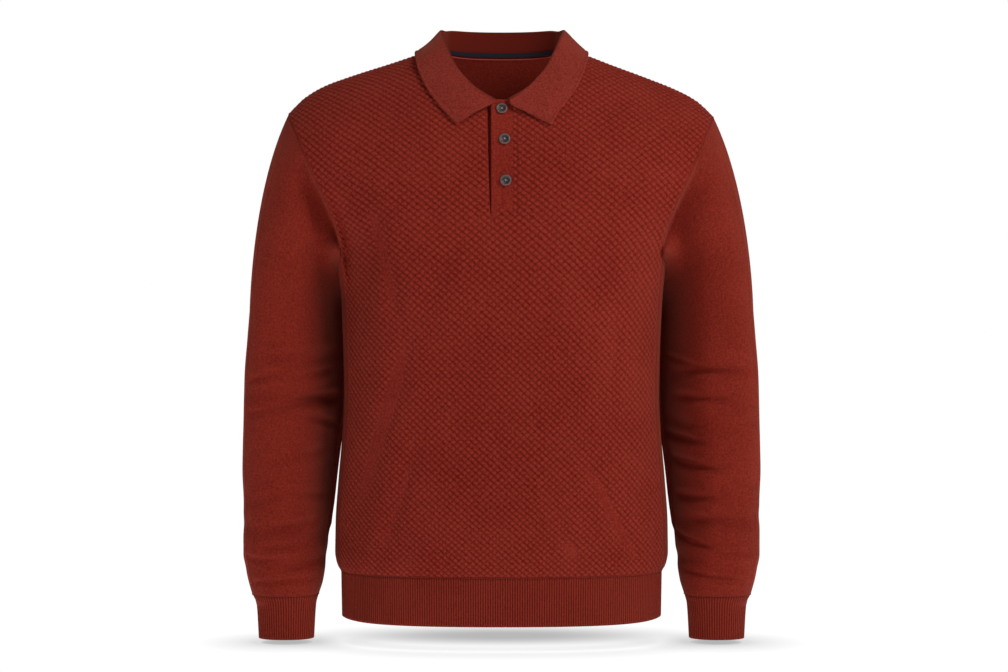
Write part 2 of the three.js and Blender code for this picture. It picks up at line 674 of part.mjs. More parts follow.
// Turns that divide a closed curve into equal lengths
function evenTurns(curve, count) {
  const samples = 2000;
  const lengths = [0];
  let before = curve(0);
  for (let k = 1; k <= samples; k += 1) {
    const next = curve(2 * Math.PI * k / samples);
    lengths.push(lengths[k - 1] + next.distanceTo(before));
    before = next;
  }
  const total = lengths[samples];
  const turns = [];
  let k = 0;
  for (let i = 0; i < count; i += 1) {
    while (lengths[k + 1] < total * i / count) k += 1;
    const part = (total * i / count - lengths[k]) / (lengths[k + 1] - lengths[k]);
    turns.push(2 * Math.PI * (k + part) / samples);
  }
  return { turns, total };
}

function hemPoint(turn, z, lift) {
  const half = read(HEM, 'z', 'half', z) + lift;
  const depth = read(HEM, 'z', Math.cos(turn) > 0 ? 'front' : 'back', z) + lift;
  const x = half * signedPower(Math.sin(turn), 2 / SQUARENESS);
  return vec(x, -depth * signedPower(Math.cos(turn), 2 / SQUARENESS), z);
}

function addHem() {
  const curve = (turn) => hemPoint(turn, HEM_Z, 0);
  const ribs = Math.round(evenTurns(curve, 1).total / RIB_PITCH);
  const { turns } = evenTurns(curve, 2 * ribs);
  const place = (share, z, lift) => hemPoint(turns[Math.round(share * 2 * ribs)], z, lift);
  add('hem_rib', ribbedTube([RIB_SEAM_Z - SEAM, HEM_Z], place, ribs), RIB_RED);
}

function addCuff(name, side) {
  const foot = CUFF[CUFF.length - 1].z;
  const curve = (turn) => ringPoint(CUFF, side, turn, foot);
  const ribs = Math.round(evenTurns(curve, 1).total / RIB_PITCH);
  const { turns } = evenTurns(curve, 2 * ribs);
  const place = (share, z, lift) => ringPoint(CUFF, side, turns[Math.round(share * 2 * ribs)], z, lift);
  add(name, ribbedTube([CUFF_SEAM_Z - SEAM, -692, foot], place, ribs), RIB_RED);
}

// One station of the collar, from the neck seam over the fold to the free edge. The
// visible face is the stand's inside and the leaf's top.
function collarStation(row, number, side, seam) {
  const fold = vec(side * row.foldX, row.foldY, row.foldZ);
  let edge = onRidge(side * row.edgeX, row.lift);
  if (number < SHOULDER_STATION) edge = onFront(side * row.edgeX, row.edgeZ, row.lift);
  if (number > SHOULDER_STATION) edge = onBack(side * row.edgeX, row.edgeZ, row.lift);
  const up = vec().copy(fold).sub(seam.inner).normalize();
  const start = vec().copy(seam.inner).addScaledVector(up, SEAM);
  const under = vec().copy(seam.outer).addScaledVector(up, SEAM);
  const crest = vec().copy(fold).sub(edge).normalize().add(up).normalize();
  const outward = vec().copy(edge).sub(start);
  outward.addScaledVector(crest, -outward.dot(crest)).normalize();
  const face = [start];
  const foot = vec().copy(fold).addScaledVector(outward, -FOLD_RADIUS).addScaledVector(crest, -FOLD_RADIUS);
  face.push(vec().copy(start).lerp(foot, 0.5));
  for (let k = 0; k <= 4; k += 1) {
    const turn = Math.PI * k / 4;
    const drop = row.drop * (k / 4) ** 2;
    face.push(vec().copy(fold).addScaledVector(crest, FOLD_RADIUS * (Math.sin(turn) - 1))
      .addScaledVector(outward, -FOLD_RADIUS * Math.cos(turn)).add(vec(0, -drop / 4, -drop)));
  }
  const knee = face[face.length - 1];
  for (const share of [0.35, 0.7]) {
    const belly = 4 * row.belly * share * (1 - share);
    const point = vec().copy(knee).lerp(edge, share).addScaledVector(outward, belly);
    face.push(number < SHOULDER_STATION ? clearOfFront(point, row.lift) : point);
  }
  face.push(edge);
  return { face, under };
}

function addCollar(front, back) {
  const seam = (panelGrid, x) => {
    const c = panelGrid.columns.indexOf(x);
    return { outer: panelGrid.outer[0][c], inner: panelGrid.inner[0][c] };
  };
  const stations = [];
  const half = (side) => COLLAR.map((left, k) => {
    const row = side > 0 ? { ...left, ...RIGHT_SIDE[k] } : left;
    const x = side * row.neck;
    if (k > 0) return collarStation(row, k, side, seam(k > SHOULDER_STATION ? back : front, x));
    const z = frontNeck(x);
    const raised = side > 0 ? BAND_LIFT + 0.5 : 0.4;
    const top = { outer: onFront(x, z, raised), inner: onFront(x, z, raised - WALL) };
    return collarStation(row, k, side, top);
  });
  stations.push(...half(-1), ...half(1).slice(0, -1).reverse());
  const faces = stations.map((station) => station.face);
  const count = faces.length;
  const steps = faces[0].length;
  const under = faces.map((face, s) => face.map((point, k) => {
    if (k === 0) return stations[s].under;
    const along = vec().copy(faces[Math.min(count - 1, s + 1)][k]).sub(faces[Math.max(0, s - 1)][k]);
    const over = vec().copy(face[Math.min(steps - 1, k + 1)]).sub(face[k - 1]);
    const normal = along.cross(over).normalize();
    return vec().copy(point).addScaledVector(normal, -WALL);
  }));
  add('collar', wall(faces, under), COLLAR_RED);
  return faces;
}

// Neck tape: a strip on the inside of the stand, just above the neck seam, round the back
function addTape(collarFaces) {
  const middle = (collarFaces.length - 1) / 2;
  const reach = 4;
  const outer = [];
  const inner = [];
  for (const share of [0.15, 0.4, 0.65]) {
    const rowOuter = [];
    const rowInner = [];
    for (let s = middle - reach; s <= middle + reach; s += 1) {
      const face = collarFaces[s];
      const point = vec().copy(face[0]).lerp(face[1], share);
      const along = vec().copy(collarFaces[s + 1][0]).sub(collarFaces[s - 1][0]);
      const inward = along.cross(vec().copy(face[1]).sub(face[0])).normalize();
      rowInner.push(vec().copy(point).addScaledVector(inward, PIECE_GAP));
      rowOuter.push(vec().copy(point).addScaledVector(inward, PIECE_GAP + TAPE_WALL));
    }
    outer.push(rowOuter);
    inner.push(rowInner);
  }
  add('neck_tape', wall(outer, inner), '#1d1f33');
}

// A band of the placket: a strip on the front between two edges, at a lift off the panel
function bandWall(left, right, bottom, lift, columns, rounded) {
  const outer = [];
  const inner = [];
  for (let r = 0; r <= SHOULDER_ROWS; r += 1) {
    const rowOuter = [];
    const rowInner = [];
    for (let c = 0; c <= columns; c += 1) {
      const x = mix(left, right, c / columns);
      const short = Math.max(0, CORNER_RADIUS - (x - left)) / CORNER_RADIUS;
      const corner = rounded ? CORNER_RADIUS * (1 - Math.sqrt(1 - short ** 2)) : 0;
      const z = mix(frontNeck(x) - corner, bottom, r / SHOULDER_ROWS);
      rowOuter.push(onFront(x, z, lift));
      rowInner.push(onFront(x, z, lift - WALL));
    }
    outer.push(rowOuter);
    inner.push(rowInner);
  }
  return wall(outer, inner);
}

function addPlacket() {
  const left = SLOT_LEFT + SLOT_CLEARANCE;
  const right = SLOT_RIGHT - PIECE_GAP;
  const bottom = SLOT_BOTTOM_Z + PIECE_GAP;
  add('placket_overlap', bandWall(left, right, bottom, BAND_LIFT, 6, true), KNIT_RED);
  const behind = BAND_LIFT - WALL - PIECE_GAP;
  const deeper = Math.min(behind, -WALL - PIECE_GAP);
  const from = SLOT_LEFT - UNDERLAP_SIDE;
  const to = SLOT_RIGHT - UNDERLAP_SIDE;
  add('placket_underlap', bandWall(from, to, SLOT_BOTTOM_Z - 6, deeper, 5, false), KNIT_RED);
}

// A button: a turned disc with a raised rim and a dished middle
function addButtons() {
  const profile = [
    [0, 0], [5.6, 0], [BUTTON_RADIUS, 1.2], [6.7, 2.6], [5.8, BUTTON_THICKNESS],
    [4.9, 2.9], [4, 1.8], [0, 1.8],
  ].map(([r, h]) => new THREE.Vector2(r, h));
  BUTTONS.forEach((button, i) => {
    const geometry = new THREE.LatheGeometry(profile, 18);
    const seat = onFront(button.x, button.z, BAND_LIFT + PIECE_GAP + 0.05);
    const normal = bodyNormal(angleAt(button.x, button.z), button.z);
    geometry.applyQuaternion(new THREE.Quaternion().setFromUnitVectors(vec(0, 1, 0), normal));
    geometry.translate(seat.x, seat.y, seat.z);
    add(`button_${i + 1}`, geometry, '#4a4248', 0.45);
  });
}

const front = addFront();
const back = addBack();
addSleeve('sleeve_left', -1);
addSleeve('sleeve_right', 1);
addCuff('cuff_left', -1);
addCuff('cuff_right', 1);
addHem();
addTape(addCollar(front, back));
addPlacket();
addButtons();

export default object;
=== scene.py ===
import math
from functools import partial

import bpy
import numpy as np
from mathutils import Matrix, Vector
from mathutils.geometry import delaunay_2d_cdt


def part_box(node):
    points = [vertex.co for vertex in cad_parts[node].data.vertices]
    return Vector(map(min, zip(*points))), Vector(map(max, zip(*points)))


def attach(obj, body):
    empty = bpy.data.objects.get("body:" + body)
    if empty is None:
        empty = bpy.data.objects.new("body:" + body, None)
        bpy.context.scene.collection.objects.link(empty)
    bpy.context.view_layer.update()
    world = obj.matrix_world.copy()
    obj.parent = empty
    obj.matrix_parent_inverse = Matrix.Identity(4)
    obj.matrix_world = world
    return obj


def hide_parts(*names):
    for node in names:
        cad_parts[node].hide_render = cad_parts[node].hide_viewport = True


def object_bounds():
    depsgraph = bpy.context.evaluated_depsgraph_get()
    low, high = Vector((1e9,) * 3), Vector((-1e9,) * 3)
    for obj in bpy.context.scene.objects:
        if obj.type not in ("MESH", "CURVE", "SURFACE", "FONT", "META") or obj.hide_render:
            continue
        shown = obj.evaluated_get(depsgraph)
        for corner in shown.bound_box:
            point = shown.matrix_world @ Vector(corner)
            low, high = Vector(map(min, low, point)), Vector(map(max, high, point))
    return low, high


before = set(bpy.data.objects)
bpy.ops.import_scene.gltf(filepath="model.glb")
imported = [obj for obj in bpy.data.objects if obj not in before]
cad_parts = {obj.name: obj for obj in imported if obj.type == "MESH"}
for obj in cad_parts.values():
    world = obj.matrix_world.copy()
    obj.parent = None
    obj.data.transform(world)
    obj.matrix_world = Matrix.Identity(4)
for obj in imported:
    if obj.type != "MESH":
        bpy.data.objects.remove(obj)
cad_low, cad_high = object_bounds()

# ---------------------------------------------------------------- sizes (millimetres)
# MM turns a maker's millimetres into metres at the size of the loaded part.
DRAWN_HEIGHT = 764.0
MM = round((cad_high.z - cad_low.z) / DRAWN_HEIGHT, 5)

WALL, TAPE_WALL = 2.0, 0.9
# Between linked pieces, and between layers
SEAM, GAP = 0.35, 0.3
# How square the superellipses of body and sleeves are
SQUARENESS, SLEEVE_SQUARENESS = 2.4, 2.2
# The shoulder line lies in this plane; its outer end, and the heights of the body's edges
RIDGE_Y = 8.0
SHOULDER_X = 265.5
SHOULDER_Z = -82.0
UNDERARM_Z = -262.0
RIB_SEAM_Z = -652.0
HEM_Z = -711.5
NECK_HALF_WIDTH = 78.0
FRONT_NECK_DROP = 74.0
BACK_NECK_DROP = 7.0
# The upper band: its left side, rounded top corner and plain part, and the slit beside it
HAIRLINE, SLIT_OPEN = 0.06, 4.6
BAND_LEFT, BAND_CORNER, PLAIN_RIGHT = -12.6, 9.5, 11.5
# Behind the upper band the lower one lies this much deeper than cloth and gap
BAND_DEEPER = 2.0
UPPER_ARM_Z, CUFF_SEAM_Z, CUFF_HEM_Z = -330.0, -680.6, -735.0
RIB_PITCH, RIB_HEIGHT = 2.95, 0.75
FOLD_RADIUS = 3.2
STITCH_SPACING, STITCH_LONG, STITCH_SLANT = 2.1, 2.7, 0.35
# The button: where the darker colour of its sunk middle ends, its holes, and its section
WELL_EDGE = (4.6, 5.2)
HOLE_RADIUS, HOLE_REACH, WELL_FLOOR = 0.75, 1.75, 1.75
BUTTON_SECTION = (
    (0, 0), (3, 0), (5.3, 0.05), (6.3, 0.5), (6.85, 1.2), (6.95, 1.9), (6.7, 2.55), (6.2, 3.0),
    (5.7, 3.15), (5.2, 3.05), (4.75, 2.7), (4.4, 2.25), (4.0, 1.95), (3.2, 1.8), (1.6, WELL_FLOOR),
    (0, WELL_FLOOR),
)
# A panel's lower edge turns in to meet the rib; folds fade above it
EDGE_TURN, EDGE_TURN_HIGH, EDGE_CALM = 1.6, 4.0, 12
# The left front's free edge curls in along the slit
CURL_DEEP, CURL_WIDE = 1.8, 3.2
# The front turns back from this far out, over this width; the side seam joins in below the armhole
TURN_FROM, TURN_WIDE, TURN_HIGH = 142, 50, 50
# The sleeve falls back beside the body, but not close to its seam or about the seam's lowest point
BESIDE_WIDE, NEAR_WIDE, HOLD_RADIUS, HOLD_X, HOLD_RISE = 30, 5, 19, 199, 6
# The collar's roll dips where it turns forward at the sides of the neck: depth, place, width
DIP, DIP_X, DIP_WIDE = 2.2, 74, 8
# The welt along the collar's free edge: height, then place and width of the roll and of the groove
WELT_HIGH, WELT_ROLL, WELT_GROOVE = 0.55, (1.6, 1.3), (4.2, 0.9)
# The tape's lower and upper edge, as shares of the collar's stand
TAPE_EDGES = (0.49, 0.15)
THREAD_RADIUS, THREAD_REACH, THREAD_APART = 0.24, 1.85, 0.44
# Parts of a panel's height above and below the underarm
SHOULDER_ROWS, BODY_ROWS = 10, 10
# How far below the shoulder line the body rounds over, at the middle and at the side
FRONT_ROUNDING, BACK_ROUNDING = (230, 120), (80, 110)
# The inner side of a wall has every so many rows and columns of the outer one
LINING_STEP = 4


def drawn(name):
    """Lowest and highest corner of a CAD node in the maker's millimetres."""
    low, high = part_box(name)
    return np.array(low) / MM, np.array(high) / MM


BAND_RIGHT = float(drawn("placket_overlap")[1][0])
BAND_BOTTOM_Z = float(drawn("placket_overlap")[0][2])
BAND_LENGTH = -FRONT_NECK_DROP - BAND_BOTTOM_Z
BUTTON_PLACES = [tuple(((a + b) / 2)[[0, 2]]) for a, b in (drawn(f"button_{n}") for n in (1, 2, 3))]

# One repeat of the blister lattice: two blisters, at its corner and at its middle
LATTICE_WIDE, LATTICE_HIGH, BLISTER_HEIGHT = 9.15, 8.4, 1.7
# From the front's outline: where points move onto it, and where blisters and their tone fade in
OUTLINE_SNAP, RAISE_FADE, PATTERN_FADE = 0.25, 3, 2


def table(columns, *rows):
    return dict(zip(columns.split(), np.array(rows, float).T))


BODY = table(
    "z half front back front_reach back_reach",
    (40, 292, 112, 100, 63.1, 63.1),
    (-82, 292, 114, 106, 63.1, 63.1),
    (-100, 291, 116, 109, 59.8, 61),
    (-121, 288, 117, 112, 56.6, 58.8),
    (-140, 280, 118, 114, 56, 59),
    (-160, 270, 119, 116, 56.2, 60.5),
    (-186, 254, 120, 117, 57, 63.5),
    (-210, 238, 121, 118, 59, 70),
    (-235, 219.5, 121.5, 118, 64, 83),
    (-250, 210.5, 122, 118, 68, 95),
    (-262, 206, 122, 118, 73, 107),
    (-285, 203.5, 122, 117, 73, 107),
    (-330, 200.2, 121, 115, 73, 107),
    (-380, 198, 120, 112, 73, 107),
    (-435, 197, 119, 110, 73, 107),
    (-480, 199, 119, 110, 73, 107),
    (-540, 204, 120, 112, 73, 107),
    (-595, 207.5, 121.5, 114, 73, 107),
    (-630, 207.8, 121.5, 114, 73, 107),
    (-643, 205.5, 119.5, 112, 73, 107),
    (-652, 202.3, 117, 109.5, 73, 107),
)
HEM = table("z half front back", (-652, 200.0, 115.4, 107.9), (-711.5, 199, 115, 107.5))
SHOULDER_LINE = table(
    "x left right",
    (0, 8, 8), (40, 6, 6), (78, 0, 0), (106, -9.5, -10), (137, -20, -22), (184, -35, -39.5),
    (221, -48.5, -54.5), (245, -62.5, -68), (265.5, -82, -87), (280, -102, -107),
)
SLEEVE = table(
    "z outer inner depth y",
    (-330, 313.5, 202.2, 56, 6),
    (-365, 316.2, 201.2, 56, 6),
    (-406, 319.4, 200.4, 56, 5),
    (-440, 320.4, 200.2, 55.5, 4),
    (-466, 320.9, 201.2, 55, 2),
    (-496, 321.6, 204.4, 54, -1),
    (-526, 322, 208, 53, -4),
    (-571, 320.1, 212.6, 51, -8),
    (-601, 320.4, 216.4, 49.5, -11),
    (-631, 320.3, 218.8, 48, -14),
    (-650, 317, 220.2, 46, -16),
    (-664, 314, 222, 43, -17.5),
    (-680.6, 309.4, 226.8, 37, -19),
)
CUFF = table(
    "z outer inner depth y",
    (-681, 309, 227.1, 36.6, -19), (-692, 304, 230, 33, -20), (-735, 301.2, 232.7, 31, -20),
)
# The sleeve's inner side lies back behind the body's edge
LEAN = table(
    "z back tuck_left tuck_right",
    (-320, 15, 1.6, 1.6), (-365, 17, 2.4, 2.4), (-406, 17, 2.8, 2.2), (-440, 16, 2.2, 0.8),
    (-466, 14, 0.8, 0), (-496, 12, 0, 0), (-571, 8, 0, 0), (-650, 3, 0, 0), (-681, 0.5, 0, 0),
    (-735, 0, 0, 0),
)
# The sleeve falls back beside the body's edge: how far, by height
ARMPIT = table(
    "z back",
    (-140, 0), (-165, 10), (-191, 24), (-230, 36), (-266, 44), (-330, 50), (-440, 53), (-520, 50),
    (-600, 38), (-650, 14), (-680, 0),
)
# Collar stations from the front end to the centre back
COLLAR = table(
    "neck fold_x fold_y fold_z drop belly edge_x edge_z lift",
    (15.3, 13.4, -93, -69.5, 8, 0, 53.7, -105, 3.4),
    (32, 29.5, -85, -59, 2, 2, 63.5, -96, 3.4),
    (47, 43, -76, -46, 0, 2, 78, -79, 3.4),
    (60, 54.5, -65, -31, 0, 2, 91, -60, 3.4),
    (69, 63.5, -50, -13, 0, 1, 99.5, -42, 4),
    (75, 70, -28, 6, 0, -1, 104.5, -25, 5.6),
    (78, 74, 8, 23.5, 0, -2.5, 106.5, -9.6, 5.4),
    (71, 69.5, 38, 26.5, 0, -1, 99, -15, 4.6),
    (58, 58, 52, 27, 0, 1, 80, -19, 3.8),
    (40, 41, 61, 27, 0, 1, 56, -23, 3.4),
    (20, 21, 66, 27, 0, 1, 28, -25, 3.4),
    (0, 0, 67.5, 27, 0, 1, 0, -26, 3.4),
)
RIGHT_COLLAR = {
    0: dict(neck=9, fold_x=8.5, fold_z=-72.3, drop=6, edge_x=61, edge_z=-106.5),
    1: dict(edge_x=67, edge_z=-94.5),
    5: dict(fold_x=71.5),
    6: dict(fold_x=76.5, belly=-1),
    7: dict(fold_x=71),
}
# The left end of the fold leans over the top of the placket: foot, roll and knee
LEFT_END = (
    (-12, -86.5, -73.5), (-9.5, -88, -74.3), (-7.5, -89.5, -73.6), (-6.5, -91.5, -74),
    (-8.5, -93.2, -76), (-12.4, -93.6, -79.6),
)
SHOULDER_STATION = 6
# Column of the collar's fine net at which the roll turns over into the leaf
ROLL_COLUMN = 44

# Soft folds. Body: from (x0, z0) to (x1, z1), width across, depth
FRONT_FOLDS = table(
    "x0 z0 x1 z1 width depth",
    (-150, -222, -178, -345, 17, 2.4),
    (158, -236, 176, -350, 15, 1.8),
    (-168, -520, -112, -628, 22, 2.2),
    (172, -540, 132, -632, 20, 1.8),
    (-60, -440, 40, -560, 34, 1.6),
)
BACK_FOLDS = table(
    "x0 z0 x1 z1 width depth",
    (-150, -200, -120, -380, 20, 2.4),
    (146, -210, 124, -360, 20, 2.2),
    (-60, -480, 70, -610, 30, 2.4),
    (-150, -560, -70, -636, 20, 2),
    (0, -260, 16, -420, 34, 2.2),
)
# Finer creases of the body, only here
FRONT_CREASES = table(
    "x0 z0 x1 z1 width depth",
    (-118, -380, -180, -580, 17, 4.1),
    (104, -520, 168, -640, 14, 3.2),
    (-160, -205, -128, -330, 15, 3.2),
    (-186, -300, -176, -420, 10, 1.9),
    (176, -270, 186, -380, 9, 1.6),
    (150, -300, 126, -440, 17, 1.8),
    (-104, -500, -150, -636, 12, 2.2),
    (60, -560, 96, -648, 13, 1.8),
    (-70, -585, 20, -612, 12, 1.6),
    (-40, -420, 30, -500, 22, 1.5),
    (44, -300, 92, -420, 22, 1.2),
    (-60, -250, -96, -350, 20, 1.2),
    (196, -440, 170, -600, 12, 1.6),
    (20, -600, 110, -630, 11, 1.2),
)
BACK_CREASES = table(
    "x0 z0 x1 z1 width depth",
    (-100, -160, -60, -300, 16, 0.9),
    (110, -170, 80, -320, 15, 0.9),
    (-30, -330, 20, -470, 18, 0.7),
    (140, -440, 90, -560, 14, 0.8),
    (-140, -400, -100, -520, 13, 0.8),
    (30, -540, 90, -640, 16, 0.8),
)
# Sleeve: degrees round from the outer edge towards the front, height, reach, width, rise, depth
LEFT_FOLDS = table(
    "around z reach width rise depth",
    (95, -436, 62, 15, -6, 3.2),
    (120, -388, 50, 13, 10, 2.2),
    (80, -600, 70, 13, -6, 2.4),
    (100, -640, 80, 11, 4, 1.8),
    (270, -420, 60, 16, 8, 2.6),
    (255, -610, 70, 13, -8, 2.2),
)
RIGHT_FOLDS = table(
    "around z reach width rise depth",
    (100, -404, 60, 14, -4, 2.8),
    (125, -470, 46, 13, 9, 2.6),
    (85, -588, 70, 12, -5, 2.8),
    (110, -640, 80, 11, 5, 2.2),
    (262, -445, 60, 16, -8, 2.6),
    (280, -600, 70, 13, 6, 2.2),
)
LEFT_CREASES = table(
    "around z reach width rise depth",
    (120, -440, 36, 8.1, 3, 6.8),
    (80, -386, 26, 7.2, 2, 4.1),
    (57, -412, 24, 6.3, 4, 3.8),
    (112, -408, 26, 6.3, 6, 3),
    (128, -466, 26, 6.3, -7, 3.4),
    (64, -452, 30, 7.2, 4, 2.2),
    (104, -508, 34, 8.1, 6, 2.2),
    (102, -595, 28, 7.2, 3, 4.9),
    (94, -619, 28, 5.9, 2, 3.8),
    (62, -636, 32, 5.4, -3, 2.8),
    (120, -642, 30, 5.4, 4, 3),
    (85, -662, 50, 4.5, 3, 2.8),
    (112, -554, 30, 7.2, -5, 2.2),
    (64, -560, 30, 8.1, 5, 1.8),
    (290, -468, 34, 7.2, -6, 3.4),
    (245, -400, 34, 7.2, 6, 3.8),
    (275, -560, 40, 7.2, 6, 2.8),
    (255, -640, 44, 5.4, -4, 3.4),
    (235, -440, 30, 7.2, -6, 3),
)
RIGHT_CREASES = table(
    "around z reach width rise depth",
    (81, -404, 36, 7.2, 2, 5.1),
    (99, -438, 28, 6.8, 2, 4.7),
    (135, -486, 34, 7.7, 7, 5.9),
    (115, -520, 30, 8.1, 6, 5.5),
    (115, -560, 28, 7.7, 0, 4.7),
    (84, -589, 38, 6.8, 4, 4.7),
    (127, -615, 30, 6.3, 7, 4.4),
    (70, -628, 28, 5.9, 0, 3.6),
    (104, -656, 52, 5, 6, 4),
    (122, -392, 28, 5.4, 8, 2.9),
    (62, -470, 30, 8.1, -4, 1.8),
    (58, -540, 30, 7.2, 4, 2.2),
    (285, -400, 34, 7.2, 6, 3.2),
    (245, -500, 34, 7.2, -6, 3.1),
    (265, -640, 44, 6.3, 4, 3.5),
    (255, -580, 34, 7.2, 5, 2.9),
    (288, -450, 30, 7.2, -5, 2.6),
)
# How far the front turns back toward its side edges, beyond its own rounding
TURNED = table(
    "z left right",
    (-120, 0, 0), (-170, 3, 2), (-215, 12, 3), (-250, 19, 4), (-300, 22, 5), (-350, 18, 6),
    (-420, 13, 6), (-500, 11, 5), (-600, 8, 5), (-640, 2, 1), (-652, 0, 0),
)
# The pressed edge down the sleeve: degrees round, by height
PRESSED = table("z around", (-120, 30), (-250, 27), (-400, 24), (-560, 26), (-660, 30))

# How far the front is stretched, by height above the underarm: one repeat's real width and height
STRETCH = table(
    "v wide high",
    (-392, 8.5, 7.4), (-350, 8.6, 7.5), (-296, 8.85, 8.0), (-236, 8.9, 8.3), (-176, 9.0, 8.4),
    (-116, 9.15, 8.4), (-56, 9.7, 8.8), (4, 10.3, 8.8), (64, 10.7, 8.4), (340, 10.6, 8.4),
)


# ---------------------------------------------------------------- curves and surfaces
def curve_between(a, leave, b, arrive, t):
    """Curve from a to b that leaves and arrives in the given directions."""
    t2, t3 = t * t, t * t * t
    return (
        (2 * t3 - 3 * t2 + 1) * a + (t3 - 2 * t2 + t) * leave
        + (3 * t2 - 2 * t3) * b + (t3 - t2) * arrive
    )


def read(rows, column, at):
    """Smooth monotone curve through one column of a table, read at values of its first one."""
    xs, ys = rows[next(iter(rows))], rows[column]
    if xs[0] > xs[-1]:
        xs, ys = xs[::-1], ys[::-1]
    slope = np.diff(ys) / np.diff(xs)
    before, after = slope[:-1], slope[1:]
    total = np.where(before * after > 0, before + after, 1.0)
    inner = np.where(before * after > 0, 2 * before * after / total, 0.0)
    tangent = np.concatenate([slope[:1], inner, slope[-1:]])
    at = np.clip(at, xs[0], xs[-1])
    i = np.clip(np.searchsorted(xs, at) - 1, 0, len(xs) - 2)
    span = xs[i + 1] - xs[i]
    leave, arrive = span * tangent[i], span * tangent[i + 1]
    return curve_between(ys[i], leave, ys[i + 1], arrive, (at - xs[i]) / span)


def mix(a, b, t):
    return a + (b - a) * t


def bell(off, wide):
    return np.exp(-((off / wide) ** 2))


def smooth(t):
    t = np.clip(t, 0, 1)
    return t * t * (3 - 2 * t)


def signed_power(value, power):
    return np.sign(value) * np.abs(value) ** power


def unit(v):
    return v / np.maximum(np.linalg.norm(v, axis=-1, keepdims=True), 1e-12)


def xyz(x, y, z):
    return np.stack(np.broadcast_arrays(x, y, z), axis=-1).astype(float)


def ridge_height(x):
    left = read(SHOULDER_LINE, "left", np.abs(x))
    right = read(SHOULDER_LINE, "right", np.abs(x))
    return np.where(np.asarray(x) < 0, left, right)


def body_point(angle, z):
    turn = np.cos(angle)
    half = read(BODY, "half", z)
    depth = np.where(turn > 0, read(BODY, "front", z), read(BODY, "back", z))
    x = half * signed_power(np.sin(angle), 2 / SQUARENESS)
    y = -depth * signed_power(turn, 2 / SQUARENESS)
    outward = (np.abs(x) / SHOULDER_X) ** 2
    drop = np.where(turn > 0, mix(*FRONT_ROUNDING, outward), mix(*BACK_ROUNDING, outward))
    below = np.clip((ridge_height(x) - z) / drop, 0, 1)
    rounding = np.sqrt(1 - (1 - below) ** 2)
    return xyz(x, mix(RIDGE_Y, y, rounding), z)


def body_normal(angle, z):
    x = body_point(angle, z)[..., 0]
    ridge = ridge_height(x)
    slope = (ridge_height(x + 1) - ridge_height(x - 1)) / 2
    around = body_point(angle + 0.004, z) - body_point(angle - 0.004, z)
    rise = np.clip((ridge - z) / 2, 1e-3, 0.5)
    up = body_point(angle, z + rise) - body_point(angle, z - rise)
    on_ridge = (ridge - z < 0.5)[..., None]
    return np.where(on_ridge, unit(xyz(-slope, 0, 1)), unit(np.cross(around, up)))


def trough(across, along):
    """A soft fold: a trough with a low ridge on each side, that fades toward its ends."""
    return (1.2 * across**2 - 1) * np.exp(-(across**2) - along**4)


def fold_depth(folds, x, z):
    total = np.zeros(np.broadcast(x, z).shape)
    for x0, z0, x1, z1, width, depth in zip(*folds.values()):
        run_x, run_z = x1 - x0, z1 - z0
        length = math.hypot(run_x, run_z)
        along = ((x - x0) * run_x + (z - z0) * run_z) / length
        across = ((x - x0) * run_z - (z - z0) * run_x) / length / width
        total += depth * trough(across, (along / length - 0.5) / 0.55)
    return total


def angle_at(x, z):
    share = np.minimum(1, np.abs(x) / read(BODY, "half", z))
    return np.sign(x) * np.arcsin(share ** (SQUARENESS / 2))


def on_front(x, z, lift=0.0):
    angle = angle_at(x, z)
    raised = lift + fold_depth(FRONT_FOLDS, x, z)
    return body_point(angle, z) + body_normal(angle, z) * np.asarray(raised)[..., None]


def on_back(x, z, lift=0.0):
    angle = math.pi - angle_at(x, z)
    return body_point(angle, z) + body_normal(angle, z) * np.asarray(lift)[..., None]


def on_ridge(x):
    """A place on the shoulder line and the cloth's normal there."""
    z = ridge_height(x)
    return xyz(x, RIDGE_Y, z), body_normal(angle_at(x, z), z)


def front_neck(x):
    share = np.minimum(1, np.abs(x) / NECK_HALF_WIDTH)
    return -FRONT_NECK_DROP * np.sqrt(1 - share**2)


def back_neck(x):
    share = np.minimum(1, np.abs(x) / NECK_HALF_WIDTH)
    return -BACK_NECK_DROP * np.sqrt(1 - share**3)


def shoulder_share(row):
    t = row / SHOULDER_ROWS
    return mix(t, (1 - np.cos(np.pi * t)) / 2, 0.75)


def grid_normals(points, tube=False):
    """Normals of a grid of points, rows down and columns round; those of a tube face out."""
    down = np.gradient(points, axis=0)
    if not tube:
        return unit(np.cross(down, np.gradient(points, axis=1)))
    normals = unit(np.cross(down, np.roll(points, -1, 1) - np.roll(points, 1, 1)))
    inward = ((points - points.mean(1, keepdims=True)) * normals).sum() < 0
    return -normals if inward else normals


# ---------------------------------------------------------------- meshes
CELL_JUMP = 50  # millimetres; no cell of the cloth is as wide


def close_round(at_corner, far, starts, sizes):
    """A tube's last cell runs on past the end of its cloth coordinates, not back to their start."""
    low = np.minimum.reduceat(at_corner[:, 0], starts)
    high = np.maximum.reduceat(at_corner[:, 0], starts)
    jumps = np.repeat(high - low > CELL_JUMP, sizes)
    first = jumps & (at_corner[:, 0] < np.repeat((low + high) / 2, sizes))
    at_corner[first, 0] = far[first]


def placed(name, data):
    obj = bpy.data.objects.new(name, data)
    bpy.context.scene.collection.objects.link(obj)
    return obj


